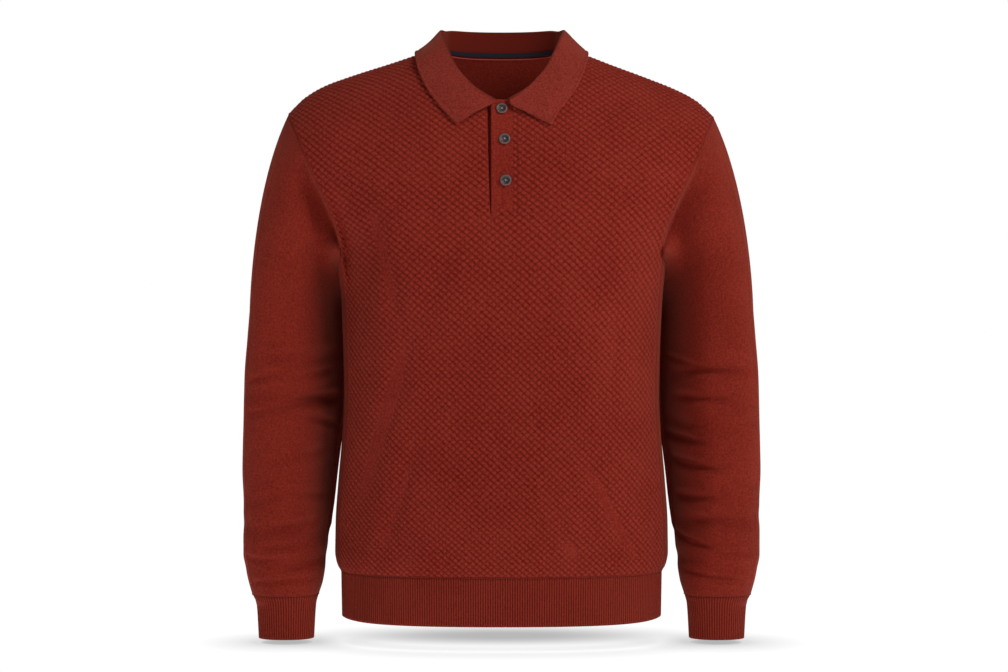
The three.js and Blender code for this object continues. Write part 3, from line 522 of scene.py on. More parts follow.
def finished(name, points, faces, uv, material, extra=None, far=None):
    """A mesh object with its place in its mesh, faces turned out and cloth coordinates in mm.

    extra holds attributes of its points, far the coordinates at the end of a tube's last cell."""
    points = np.asarray(points, float)
    faces = [np.asarray(f) for f in faces if len(f)]
    volume = 0.0
    for f in faces:
        for k in range(1, f.shape[1] - 1):
            a, b, c = points[f[:, 0]], points[f[:, k]], points[f[:, k + 1]]
            volume += float((a * np.cross(b, c)).sum())
    if volume < 0:
        faces = [f[:, ::-1] for f in faces]
    mesh = bpy.data.meshes.new(name)
    sizes = np.concatenate([np.full(len(f), f.shape[1]) for f in faces])
    corners = np.concatenate([f.ravel() for f in faces]).astype(np.int32)
    starts = np.concatenate([[0], np.cumsum(sizes)[:-1]]).astype(np.int32)
    mesh.vertices.add(len(points))
    mesh.vertices.foreach_set("co", (points * MM).astype(np.float32).ravel())
    mesh.loops.add(len(corners))
    mesh.loops.foreach_set("vertex_index", corners)
    mesh.polygons.add(len(sizes))
    mesh.polygons.foreach_set("loop_start", starts)
    mesh.polygons.foreach_set("use_smooth", np.ones(len(sizes), bool))
    at_corner = np.asarray(uv, np.float32)[corners]
    if far is not None:
        close_round(at_corner, np.asarray(far, np.float32)[corners], starts, sizes)
    mesh.uv_layers.new(name="cloth").data.foreach_set("uv", at_corner.ravel())
    for key, values in (extra or {}).items():
        marks = mesh.attributes.new(key, "FLOAT", "POINT")
        marks.data.foreach_set("value", np.asarray(values, np.float32))
    mesh.update(calc_edges=True)
    mesh.validate()
    mesh.materials.append(material)
    return placed(name, mesh)


def quads(a, b, c, d):
    return np.stack([x.ravel() for x in (a, b, c, d)], axis=1)


def wall(outer, inner, step, tube=False):
    """Points and faces of a closed wall: a fine outer grid, a coarser inner one and rims.

    inner has every step-th row and column of outer."""
    o = np.arange(outer[..., 0].size).reshape(outer.shape[:2])
    i = o.size + np.arange(inner[..., 0].size).reshape(inner.shape[:2])
    if tube:
        o, i = (np.concatenate([grid, grid[:, :1]], axis=1) for grid in (o, i))
    faces = [
        quads(o[:-1, :-1], o[1:, :-1], o[1:, 1:], o[:-1, 1:]),
        quads(i[:-1, :-1], i[:-1, 1:], i[1:, 1:], i[1:, :-1]),
    ]

    def rim(fine, coarse, turned):
        triangles = []
        middle = (step + 1) // 2
        for k in range(step):
            corner = coarse[:-1] if k < middle else coarse[1:]
            triangles.append(np.stack([fine[k:-1:step], corner, fine[k + 1::step]], axis=1))
        between = fine[middle::step][:len(coarse) - 1]
        triangles.append(np.stack([coarse[:-1], coarse[1:], between], axis=1))
        made = np.concatenate(triangles)
        return made[:, ::-1] if turned else made

    faces += [rim(o[0], i[0], True), rim(o[-1], i[-1], False)]
    if not tube:
        faces += [rim(o[:, 0], i[:, 0], False), rim(o[:, -1], i[:, -1], True)]
    return np.concatenate([outer.reshape(-1, 3), inner.reshape(-1, 3)]), faces


def arc_lengths(points, axis):
    step = np.linalg.norm(np.diff(points, axis=axis), axis=-1)
    zero = np.zeros_like(np.take(step, [0], axis=axis))
    return np.concatenate([zero, np.cumsum(step, axis=axis)], axis=axis)


def along_cloth(points):
    """Cloth coordinates of a grid: along its rows from their start, and down its columns."""
    return np.stack([arc_lengths(points, 1), -arc_lengths(points, 0)], axis=-1)


def cloth_wall(
    name, outer, normals, material, step=LINING_STEP, tube=False, thick=WALL, uv=None,
    extra=None, lining=None,
):
    """A wall from its outer grid; cloth coordinates run along its rows and columns.

    extra and lining are the values of attributes on the outer and the inner grid."""
    def on_both(outside, inside):
        rest = outside.shape[2:]
        inside = inside[::step, ::step].reshape(-1, *rest)
        return np.concatenate([outside.reshape(-1, *rest), inside])

    points, faces = wall(outer, (outer - normals * thick)[::step, ::step], step, tube)
    if uv is None:
        uv = along_cloth(outer)
        uv[..., 0] -= uv[:, -1:, 0] / 2
    extra, lining, none = extra or {}, lining or {}, np.zeros(outer.shape[:2])
    marks = {
        key: on_both(extra.get(key, none), lining.get(key, none)) for key in {**extra, **lining}
    }
    far = None
    if tube:
        far = np.array(uv[..., 0])
        far[:, 0] = uv[:, -1, 0] + uv[:, 1, 0] - uv[:, 0, 0]
        far = on_both(far, far)
    return finished(name, points, faces, on_both(uv, uv), material, marks, far)


# ---------------------------------------------------------------- node trees
def plug(tree, socket, value):
    """Gives a socket a number or a colour, or what another node puts out."""
    if isinstance(value, bpy.types.Node):
        value = value.outputs[0]
    if isinstance(value, bpy.types.NodeSocket):
        tree.links.new(value, socket)
    else:
        socket.default_value = value


def node(tree, kind, sockets=None, **settings):
    n = tree.nodes.new(kind)
    for key, value in settings.items():
        setattr(n, key, value)
    for key, value in (sockets or {}).items():
        plug(tree, n.inputs[key], value)
    return n


def math_node(tree, operation, *values):
    return node(tree, "ShaderNodeMath", dict(enumerate(values)), operation=operation).outputs[0]


def noise(tree, vector, scale, detail=3.0, roughness=0.55):
    sockets = {"Vector": vector, "Scale": scale, "Detail": detail, "Roughness": roughness}
    return node(tree, "ShaderNodeTexNoise", sockets).outputs["Fac"]


def blend_colours(tree, share, low, high):
    low, high = (c if isinstance(c, bpy.types.NodeSocket) else (*c, 1) for c in (low, high))
    return node(tree, "ShaderNodeMix", {0: share, 6: low, 7: high}, data_type="RGBA").outputs[2]


def step_between(tree, value, low, high, least=0.0):
    """Rises softly from least to 1 as the value goes from low to high."""
    sockets = {"Value": value, "From Min": low, "From Max": high, "To Min": least}
    return node(tree, "ShaderNodeMapRange", sockets, interpolation_type="SMOOTHSTEP").outputs[0]


def length_of(tree, vector):
    return node(tree, "ShaderNodeVectorMath", {0: vector}, operation="LENGTH").outputs["Value"]


def linear(r, g, b):
    """A colour as it looks on screen, as scene-linear values."""
    def one(v):
        v /= 255
        return v / 12.92 if v <= 0.04045 else ((v + 0.055) / 1.055) ** 2.4
    return tuple(one(v) for v in (r, g, b))


def object_place(tree):
    return node(tree, "ShaderNodeTexCoord").outputs["Object"]


def cloth_uv(tree):
    uv = node(tree, "ShaderNodeUVMap", uv_map="cloth").outputs[0]
    split = node(tree, "ShaderNodeSeparateXYZ", {0: uv})
    return uv, split.outputs[0], split.outputs[1]


def wave(tree, value, period, shift=0.0):
    """cos(2 pi value / period + shift)"""
    turned = math_node(tree, "MULTIPLY_ADD", value, 2 * math.pi / period, shift)
    return math_node(tree, "COSINE", turned)


def valley(tree, u, v, sign, depth, sharp):
    """One set of diagonal valleys: 1 on the blisters, 1 - depth along the valley's bottom."""
    phase = math_node(
        tree, "ADD",
        math_node(tree, "MULTIPLY", u, sign * math.pi / LATTICE_WIDE),
        math_node(tree, "MULTIPLY", v, math.pi / LATTICE_HIGH),
    )
    ridge = math_node(tree, "ABSOLUTE", math_node(tree, "COSINE", phase))
    if sharp != 1:
        ridge = math_node(tree, "POWER", ridge, sharp)
    return math_node(tree, "MULTIPLY_ADD", ridge, depth, 1 - depth)


def blister_relief(tree, u, v, sharp=1.0):
    """Height of the blister lattice, 0 to 1: round blisters parted by two sets of valleys."""
    rising, falling = valley(tree, u, v, 1, 0.95, sharp), valley(tree, u, v, -1, 0.7, sharp)
    return math_node(tree, "MULTIPLY", rising, falling)


# ---------------------------------------------------------------- materials
def new_material(name, **sockets):
    """A new material, its tree and its shader, with the shader's sockets set."""
    m = bpy.data.materials.new(name)
    m.use_nodes = True
    surface = m.node_tree.nodes["Principled BSDF"]
    for label, value in sockets.items():
        surface.inputs[label.replace("_", " ")].default_value = value
    return m, m.node_tree, surface


def raise_grain(tree, surface, height, strength, depth):
    sockets = {"Height": height, "Strength": strength, "Distance": depth * MM}
    plug(tree, surface.inputs["Normal"], node(tree, "ShaderNodeBump", sockets))


def knit_material(
    name, dark, light, wale=1.7, course=1.3, stitch=0.25, lattice=False, rib=0.0, grain=2.2,
    wrong_side=None,
):
    """Knitted cloth: stitch columns, uneven dye, a soft nap, a painted shade where a piece asks for
    it and, if asked, blisters or ribs with painted shade and highlight on their relief.
    """
    m, t, surface = new_material(
        name, Roughness=0.92, Specular_IOR_Level=0.12, Sheen_Weight=0.25, Sheen_Roughness=0.45,
        Sheen_Tint=(0.8, 0.3, 0.2, 1),
    )
    _, u, v = cloth_uv(t)
    place = object_place(t)

    # Stitches: each wale is a column of small V shapes
    column = math_node(t, "PINGPONG", u, wale / 2)
    legs = wave(t, math_node(t, "MULTIPLY_ADD", column, 0.9, v), course)
    wales = wave(t, u, wale, math.pi)
    stitches = math_node(t, "MULTIPLY_ADD", wales, 0.6, math_node(t, "MULTIPLY", legs, 0.4))
    height = math_node(t, "MULTIPLY", stitches, stitch)
    shade = math_node(t, "MULTIPLY_ADD", stitches, 0.10, 0.5)
    if lattice:
        pattern = node(t, "ShaderNodeAttribute", attribute_name="pattern").outputs["Fac"]
        relief = math_node(t, "SUBTRACT", blister_relief(t, u, v, 0.7), 0.54)
        relief = math_node(t, "MULTIPLY", relief, pattern)
        height = math_node(t, "MULTIPLY_ADD", relief, 1.4, height)
        # Painted shade in the lattice's valleys and a painted highlight on its blisters, following
        # the relief
        shade = math_node(t, "MULTIPLY_ADD", relief, 0.8, shade)
    if rib:
        # Painted shade in the grooves between ribs, lighter on the rib tops
        shade = math_node(t, "MULTIPLY_ADD", wave(t, u, rib, math.pi), 0.4, shade)

    # Yarn: fine mottling and slow changes of tone over the cloth
    fine = noise(t, place, 420 / (MM * 1000), 3.0, 0.75)
    slow = noise(t, place, 14 / (MM * 1000), 3.0, 0.5)
    for cloud, share in ((fine, grain), (slow, 0.5)):
        shade = math_node(t, "MULTIPLY_ADD", math_node(t, "SUBTRACT", cloud, 0.5), share, shade)
    tone = blend_colours(t, node(t, "ShaderNodeClamp", {0: shade}).outputs[0], dark, light)
    if wrong_side:
        # Painted shade: a darker tone blended in where the piece's attribute asks for it, on the
        # collar's stand and low on the inside of the back
        shaded = node(t, "ShaderNodeAttribute", attribute_name="wrong_side").outputs["Fac"]
        tone = blend_colours(t, shaded, tone, wrong_side)
    plug(t, surface.inputs["Base Color"], tone)
    raise_grain(t, surface, math_node(t, "MULTIPLY_ADD", fine, 0.25, height), 0.8, 0.8)
    return m


def yarn_material(name, dark, light, scale=1200, fuzz=0.0):
    """Twisted yarn: uneven in tone, with a fine grain."""
    m, t, surface = new_material(name, Roughness=0.85, Specular_IOR_Level=0.2, Sheen_Weight=fuzz)
    grain = noise(t, object_place(t), scale, 2.0)
    plug(t, surface.inputs["Base Color"], blend_colours(t, grain, dark, light))
    raise_grain(t, surface, grain, 0.4, 0.2)
    return m


def woven_material(name, dark, light, pitch=0.9):
    """Twill tape: fine diagonal lines."""
    m, t, surface = new_material(name, Roughness=0.8, Specular_IOR_Level=0.25, Sheen_Weight=0.05)
    uv, u, v = cloth_uv(t)
    twill = wave(t, math_node(t, "ADD", u, v), pitch)
    grain = noise(t, uv, 2.5, 2.0)
    shade = math_node(t, "MULTIPLY_ADD", twill, 0.3, math_node(t, "MULTIPLY_ADD", grain, 0.5, 0.25))
    plug(t, surface.inputs["Base Color"], blend_colours(t, shade, dark, light))
    raise_grain(t, surface, twill, 0.4, 0.3)
    return m


def button_material():
    """Clouded resin, darker in the sunk middle."""
    m, t, surface = new_material("button_resin", Roughness=0.36, Coat_Weight=0.2)
    uv = cloth_uv(t)[0]
    cloud = noise(t, uv, 0.35, 4.0, 0.65)
    veins = noise(t, uv, 1.4, 3.0, 0.7)
    shade = math_node(t, "MULTIPLY_ADD", veins, 0.5, math_node(t, "MULTIPLY", cloud, 0.6))
    rim = blend_colours(t, shade, linear(48, 32, 30), linear(132, 104, 98))
    well = blend_colours(t, shade, linear(18, 15, 18), linear(70, 62, 66))
    out = step_between(t, length_of(t, uv), *WELL_EDGE)
    plug(t, surface.inputs["Base Color"], blend_colours(t, out, well, rim))
    return m


# Besides the dye's unevenness, the dark tone is painted shade in the lattice's valleys and the
# light, pinker one a painted highlight on its blisters
FRONT_KNIT = knit_material(
    "lattice_knit", linear(110, 14, 4), linear(158, 54, 41), stitch=0.12, lattice=True
)
# Its last tone is the painted shade on the inside of the back
PLAIN_KNIT = knit_material(
    "plain_jersey", linear(110, 24, 12), linear(160, 52, 38), wrong_side=linear(86, 17, 8)
)
RIB_KNIT = knit_material(
    "ribbed_knit", linear(102, 24, 13), linear(150, 50, 36), wale=RIB_PITCH, course=1.4, stitch=0.1,
    rib=RIB_PITCH, grain=1.6
)
# Its last tone is the painted shade on the collar's stand
COLLAR_KNIT = knit_material(
    "polo_knit", linear(112, 29, 19), linear(170, 64, 52), wale=1.4, course=1.2, stitch=0.2,
    wrong_side=linear(106, 28, 17)
)
SEAM_YARN = yarn_material("seam_yarn", linear(112, 28, 17), linear(158, 52, 40))
NECK_YARN = yarn_material("neck_seam_yarn", linear(150, 52, 42), linear(205, 96, 82))
THREAD = yarn_material(
    "button_thread", linear(120, 112, 112), linear(190, 180, 176), scale=1500, fuzz=0.2
)
TAPE = woven_material("tape_twill", linear(14, 13, 22), linear(38, 34, 50))
BUTTON = button_material()


# ---------------------------------------------------------------- geometry node trees
def new_tree(name, **sizes):
    t = bpy.data.node_groups.new(name, "GeometryNodeTree")
    t.interface.new_socket("Geometry", in_out="INPUT", socket_type="NodeSocketGeometry")
    for label, value in sizes.items():
        socket = t.interface.new_socket(label, in_out="INPUT", socket_type="NodeSocketFloat")
        socket.default_value = value
    t.interface.new_socket("Material", in_out="INPUT", socket_type="NodeSocketMaterial")
    t.interface.new_socket("Geometry", in_out="OUTPUT", socket_type="NodeSocketGeometry")
    return t, node(t, "NodeGroupInput").outputs, node(t, "NodeGroupOutput")


def baked(obj):
    """Keeps what the object's modifiers make as a plain mesh."""
    graph = bpy.context.evaluated_depsgraph_get()
    mesh = bpy.data.meshes.new_from_object(obj.evaluated_get(graph))
    obj.modifiers.clear()
    obj.data = mesh
    mesh.name = obj.name
    return obj


def made_by(obj, tree, **values):
    """Runs a tree on an object and keeps the result as a plain mesh."""
    modifier = obj.modifiers.new(tree.name, "NODES")
    modifier.node_group = tree
    for item in tree.interface.items_tree:
        if item.in_out == "INPUT" and item.name in values:
            modifier[item.identifier] = values[item.name]
    return baked(obj)


def named(tree, name, kind="FLOAT"):
    n = node(tree, "GeometryNodeInputNamedAttribute", {"Name": name}, data_type=kind)
    return n.outputs["Attribute"]


def closed_off(t, geometry, given, result):
    """Every tree ends the same way: real geometry with its material."""
    real = node(t, "GeometryNodeRealizeInstances", {0: geometry})
    sockets = {"Geometry": real, "Material": given["Material"]}
    plug(t, result.inputs[0], node(t, "GeometryNodeSetMaterial", sockets))
    return t


def raising_tree(name, relief_of):
    """Moves cloth along its normal by its relief times Height, where 'raise' allows it."""
    t, given, result = new_tree(name, Height=0.001)
    amount = math_node(t, "MULTIPLY", relief_of(t), given["Height"])
    amount = math_node(t, "MULTIPLY", amount, named(t, "raise"))
    normal = node(t, "GeometryNodeInputNormal")
    way = node(t, "ShaderNodeVectorMath", {0: normal, "Scale": amount}, operation="SCALE")
    moved = node(t, "GeometryNodeSetPosition", {"Geometry": given["Geometry"], "Offset": way})
    return closed_off(t, moved, given, result)


def blisters(t):
    """The blister lattice, -1 to 1."""
    split = node(t, "ShaderNodeSeparateXYZ", {0: named(t, "cloth", "FLOAT_VECTOR")})
    relief = blister_relief(t, split.outputs[0], split.outputs[1])
    return math_node(t, "MULTIPLY_ADD", relief, 2.0, -1.0)


def round_ribs(t):
    """Rounded ribs, -1 to 0: 'turn' counts the ribs round the tube."""
    ribs = math_node(t, "SINE", math_node(t, "MULTIPLY", named(t, "turn"), math.pi))
    rounded = math_node(t, "POWER", math_node(t, "ABSOLUTE", ribs), 0.7)
    return math_node(t, "SUBTRACT", rounded, 1.0)


def stitch_tree():
    """A chain of slanting stitches along a path; 'out' is the cloth's normal there."""
    t, given, result = new_tree(
        "stitch_chain", Spacing=0.002, Long=0.002, Wide=0.001, Thick=0.001, Slant=0.4
    )
    path = node(t, "GeometryNodeMeshToCurve", {"Mesh": given["Geometry"]})
    sockets = {"Curve": path, "Length": given["Spacing"]}
    even = node(t, "GeometryNodeResampleCurve", sockets, mode="LENGTH")
    tangent = node(t, "GeometryNodeInputTangent")
    along = node(t, "FunctionNodeAlignRotationToVector", {"Vector": tangent}, axis="X")
    sockets = {"Rotation": along, "Vector": named(t, "out", "FLOAT_VECTOR")}
    upright = node(t, "FunctionNodeAlignRotationToVector", sockets, axis="Z", pivot_axis="X")
    odd = math_node(t, "MODULO", node(t, "GeometryNodeInputIndex").outputs[0], 2.0)
    angle = math_node(t, "MULTIPLY", math_node(t, "MULTIPLY_ADD", odd, 2.0, -1.0), given["Slant"])
    lean = node(t, "FunctionNodeAxisAngleToRotation", {"Axis": (0, 0, 1), "Angle": angle})
    turned = node(t, "FunctionNodeRotateRotation", {0: upright, 1: lean}, rotation_space="LOCAL")
    sockets = {"Segments": 8, "Rings": 5, "Radius": 0.5}
    stitch = node(t, "GeometryNodeMeshUVSphere", sockets)
    size = node(t, "ShaderNodeCombineXYZ", {0: given["Long"], 1: given["Wide"], 2: given["Thick"]})
    sockets = {"Points": even, "Instance": stitch, "Rotation": turned, "Scale": size}
    return closed_off(t, node(t, "GeometryNodeInstanceOnPoints", sockets), given, result)


RAISE_BLISTERS = raising_tree("raise_blisters", blisters)
RAISE_RIBS = raising_tree("raise_ribs", round_ribs)
STITCH_CHAIN = stitch_tree()


def sewn(name, points, out, wide=1.25, thick=0.9, closed=False, material=SEAM_YARN):
    """A row of stitches along a line of points, in mm."""
    points = np.asarray(points, float)
    mesh = bpy.data.meshes.new(name)
    count = len(points)
    edges = [(k, (k + 1) % count) for k in range(count if closed else count - 1)]
    mesh.from_pydata([tuple(p) for p in points * MM], edges, [])
    facing = mesh.attributes.new("out", "FLOAT_VECTOR", "POINT")
    facing.data.foreach_set("vector", np.asarray(out, np.float32).ravel())
    obj = made_by(
        placed(name, mesh), STITCH_CHAIN, Spacing=STITCH_SPACING * MM, Long=STITCH_LONG * MM,
        Wide=wide * MM, Thick=thick * MM, Slant=STITCH_SLANT, Material=material,
    )
    obj.data.materials.clear()
    obj.data.materials.append(material)
    obj.data.polygons.foreach_set("material_index", np.zeros(len(obj.data.polygons), int))
    obj.data.polygons.foreach_set("use_smooth", np.ones(len(obj.data.polygons), bool))
    return obj


# ---------------------------------------------------------------- front panel
class FrontCloth:
    """Cloth coordinates of the front: u across in mm from the centre, v up from the underarm.

    It keeps nets of lengths over the body, wide and fine enough to read any place from:
    x_of_u across at heights zs, t_of_v up at widths xs, and vv, the lattice's own height."""

    def __init__(self):
        self.zs = np.concatenate([np.linspace(-660, -262, 60), np.linspace(-256, 40, 75)])
        angles = np.linspace(0, math.radians(86), 260)
        half = read(BODY, "half", self.zs)[:, None]
        depth = read(BODY, "front", self.zs)[:, None]
        x = half * np.sin(angles) ** (2 / SQUARENESS)
        y = depth * np.cos(angles) ** (2 / SQUARENESS)
        length = arc_lengths(np.stack([x, y], axis=-1), 1)
        self.us = np.linspace(0, 330, 166)
        self.x_of_u = np.stack([
            np.interp(self.us, length[k], x[k]) + np.maximum(0, self.us - length[k, -1])
            for k in range(len(self.zs))
        ])
        self.xs = np.linspace(-300, 300, 151)
        t = np.linspace(0, 1, 140)
        self.tops = ridge_height(self.xs)
        z = self.tops[:, None] - (self.tops[:, None] - UNDERARM_Z) * t**2
        middle = (z[:, 1:] + z[:, :-1]) / 2
        column = np.minimum(np.abs(self.xs)[:, None], 0.85 * read(BODY, "half", middle))
        column = column * np.where(self.xs < 0, -1, 1)[:, None]
        rise = z[:, 1:] - z[:, :-1]
        ends = [body_point(angle_at(column, end), end)[..., 1] for end in (z[:, :-1], z[:, 1:])]
        steps = np.hypot(ends[1] - ends[0], rise)
        from_top = np.concatenate([np.zeros((len(z), 1)), np.cumsum(steps, axis=1)], axis=1)
        self.v_top = from_top[:, -1]
        self.vs = np.linspace(-440, 340, 391)
        real_height = read(STRETCH, "high", (self.vs[1:] + self.vs[:-1]) / 2)
        step = LATTICE_HIGH / real_height * np.diff(self.vs)
        up = np.concatenate([[0], np.cumsum(step)])
        self.vv = up - np.interp(0, self.vs, up)
        self.shares = np.linspace(0, 1, 200)
        self.t_of_v = np.stack([
            np.interp(self.shares, (from_top[k, -1] - from_top[k])[::-1] / from_top[k, -1], t[::-1])
            for k in range(len(self.xs))
        ])

    @staticmethod
    def between(values, rows, columns, r, c):
        i = np.clip(np.searchsorted(rows, r) - 1, 0, len(rows) - 2)
        j = np.clip(np.searchsorted(columns, c) - 1, 0, len(columns) - 2)
        s = np.clip((r - rows[i]) / (rows[i + 1] - rows[i]), 0, 1)
        t = np.clip((c - columns[j]) / (columns[j + 1] - columns[j]), 0, 1)
        return (
            values[i, j] * (1 - s) * (1 - t) + values[i + 1, j] * s * (1 - t)
            + values[i, j + 1] * (1 - s) * t + values[i + 1, j + 1] * s * t
        )

    def top(self, x):
        return np.interp(x, self.xs, self.v_top)

    def height(self, x, v):
        share = np.clip(v / self.top(x), 0, 1)
        t = self.between(self.t_of_v, self.xs, self.shares, x, share)
        ridge = ridge_height(x)
        return np.where(v > 0, ridge - (ridge - UNDERARM_Z) * t**2, UNDERARM_Z + v)

    def where(self, across, up):
        """x and z of a place in the lattice"""
        v = np.minimum(np.interp(up, self.vv, self.vs), self.vs[-2])
        u = across * read(STRETCH, "wide", v) / LATTICE_WIDE
        x = u
        for _ in range(8):
            z = self.height(x, v)
            x = np.sign(u) * self.between(self.x_of_u, self.zs, self.us, z, np.abs(u))
        return x, self.height(x, v)

    def lattice(self, x, z):
        """Place in the lattice of x and z, by looking along each place's column and row."""
        x, z = np.broadcast_arrays(np.asarray(x, float), np.asarray(z, float))
        shape, x, z = x.shape, x.ravel(), z.ravel()
        v = np.linspace(0, 1, 300) * self.top(x)[:, None]
        zs = self.height(np.broadcast_to(x[:, None], v.shape), v)
        found = np.array([np.interp(z[k], zs[k], v[k]) for k in range(len(x))])
        found = np.where(z <= UNDERARM_Z, z - UNDERARM_Z, found)
        reach = np.broadcast_to(self.us, (len(x), len(self.us)))
        level = np.broadcast_to(z[:, None], reach.shape)
        xs = self.between(self.x_of_u, self.zs, self.us, level, reach)
        u = np.sign(x) * np.array([np.interp(abs(x[k]), xs[k], self.us) for k in range(len(x))])
        across = u * LATTICE_WIDE / read(STRETCH, "wide", found)
        return across.reshape(shape), np.interp(found, self.vs, self.vv).reshape(shape)

    def seam(self, x):
        """Height in the lattice of the shoulder seam"""
        return np.interp(self.top(x), self.vs, self.vv)


def front_edge(z):
    reach = np.radians(read(BODY, "front_reach", z))
    return read(BODY, "half", z) * np.sin(reach) ** (2 / SQUARENESS)


def edge_turn(z):
    """How far a panel's lower edge turns in to meet the rib."""
    return EDGE_TURN * bell(z - RIB_SEAM_Z, EDGE_TURN_HIGH)


def edge_hold(z):
    """Folds fade toward the rib."""
    return smooth((z - RIB_SEAM_Z) / EDGE_CALM)


def turned_back(x, z):
    return np.where(x < 0, read(TURNED, "left", z), read(TURNED, "right", z))


def seam_turn(z):
    """Share of the turn that the side seam takes too: none at the armhole."""
    return smooth((UNDERARM_Z - 4 - z) / TURN_HIGH)


def front_surface(x, z, creases=True):
    angle = angle_at(x, z)
    share = np.minimum(1, np.abs(x) / front_edge(z))
    soft = (1 - share**8) * edge_hold(z)
    depth = fold_depth(FRONT_FOLDS, x, z)
    if creases:
        depth = depth + fold_depth(FRONT_CREASES, x, z)
    open_share = np.clip((BAND_LEFT - slit_left(z)) / SLIT_OPEN, 0, 1)
    beside = np.clip(slit_left(z) - x, 0, 40)
    curl = CURL_DEEP * open_share * bell(beside, CURL_WIDE) * (x < 0) * (z > BAND_BOTTOM_Z)
    normal = body_normal(angle, z)
    points = body_point(angle, z) + normal * (depth * soft - curl - edge_turn(z))[..., None]
    at_edge = mix(smooth((1 - share) / 0.05), 1, seam_turn(z))
    points[..., 1] += turned_back(x, z) * smooth((np.abs(x) - TURN_FROM) / TURN_WIDE) * at_edge
    return points, normal


def slit_left(z):
    """Edge of the left front along the slit: wide open at the neck, closed at the bottom."""
    share = np.clip((z - BAND_BOTTOM_Z - 4) / BAND_LENGTH, 0, 1)
    return BAND_LEFT - HAIRLINE - SLIT_OPEN * share**0.6


def inside_front(cloth, x, z, across, up):
    """About how far, in mm, a place lies inside the front's whole outline.

    And the same without the edges that the upper band covers."""
    side = front_edge(z) - SEAM / 2 - np.abs(x)
    ridge = cloth.seam(x) - up - SEAM / 2
    xs = np.linspace(-NECK_HALF_WIDTH, NECK_HALF_WIDTH, 121)
    neck_v = cloth.lattice(xs, front_neck(xs))[1]
    neck = np.where(np.abs(x) < NECK_HALF_WIDTH, np.interp(x, xs, neck_v) - up, 1e3)
    hem = up - cloth.lattice([0.0], [RIB_SEAM_Z])[1][0]
    below = cloth.lattice([0.0], [BAND_BOTTOM_Z - HAIRLINE])[1][0] - up
    slit = np.maximum.reduce([slit_left(z) - x, below, x])
    free = np.minimum.reduce([side, ridge, neck, hem, slit])
    slot = np.maximum.reduce([slit_left(z) - x, x - BAND_RIGHT - HAIRLINE, below])
    return np.minimum(free, slot), free


def cut_cells(ids, inside, u, v):
    """The triangles of cells that the outline crosses, and all places with those on the outline."""
    flat_u, flat_v = list(u[ids >= 0]), list(v[ids >= 0])
    held = sum(k >= 0 for k in (ids[:-1, :-1], ids[:-1, 1:], ids[1:, 1:], ids[1:, :-1]))
    crossing, triangles = {}, []
    for r, k in zip(*np.nonzero((held > 0) & (held < 4))):
        ring = [(r, k), (r, k + 1), (r + 1, k + 1), (r + 1, k)]
        polygon = []
        for p, q in zip(ring, ring[1:] + ring[:1]):
            if ids[p] >= 0:
                polygon.append(int(ids[p]))
            if (ids[p] >= 0) == (ids[q] >= 0):
                continue
            first, second = key = (min(p, q), max(p, q))
            if key not in crossing:
                share = inside[first] / (inside[first] - inside[second])
                if min(abs(share), abs(1 - share)) < 1e-6:
                    crossing[key] = int(max(ids[first], ids[second]))
                else:
                    crossing[key] = len(flat_u)
                    flat_u.append(mix(u[first], u[second], share))
                    flat_v.append(mix(v[first], v[second], share))
            polygon.append(crossing[key])
        polygon = [p for n, p in enumerate(polygon) if p != polygon[n - 1]]
        triangles += [(polygon[0], polygon[n], polygon[n + 1]) for n in range(1, len(polygon) - 1)]
    return np.stack([flat_u, flat_v], axis=1), np.array(triangles)


def front_lining(cloth, flat, border, us, vs):
    """The inside's places and faces, with the outline's own points linked to the outside's."""
    around = np.unique(border)
    number = -np.ones(len(flat), int)
    number[around] = np.arange(len(around))
    u, v = np.meshgrid(us[::LINING_STEP], vs[::LINING_STEP])
    far = inside_front(cloth, *cloth.where(u, v), u, v)[0] > 5
    plane = np.concatenate([flat[around], np.stack([u[far], v[far]], axis=1)])
    edges = [tuple(e) for e in number[border].tolist()]
    made = delaunay_2d_cdt([Vector(p) for p in plane], edges, [], 1, 1e-5)
    places = np.array([tuple(p) for p in made[0]])
    faces = np.array([f for f in made[2] if len(f) == 3])
    link = {
        int(around[origin[0]]): k
        for k, origin in enumerate(made[3]) if origin and origin[0] < len(around)
    }
    return places, faces, link


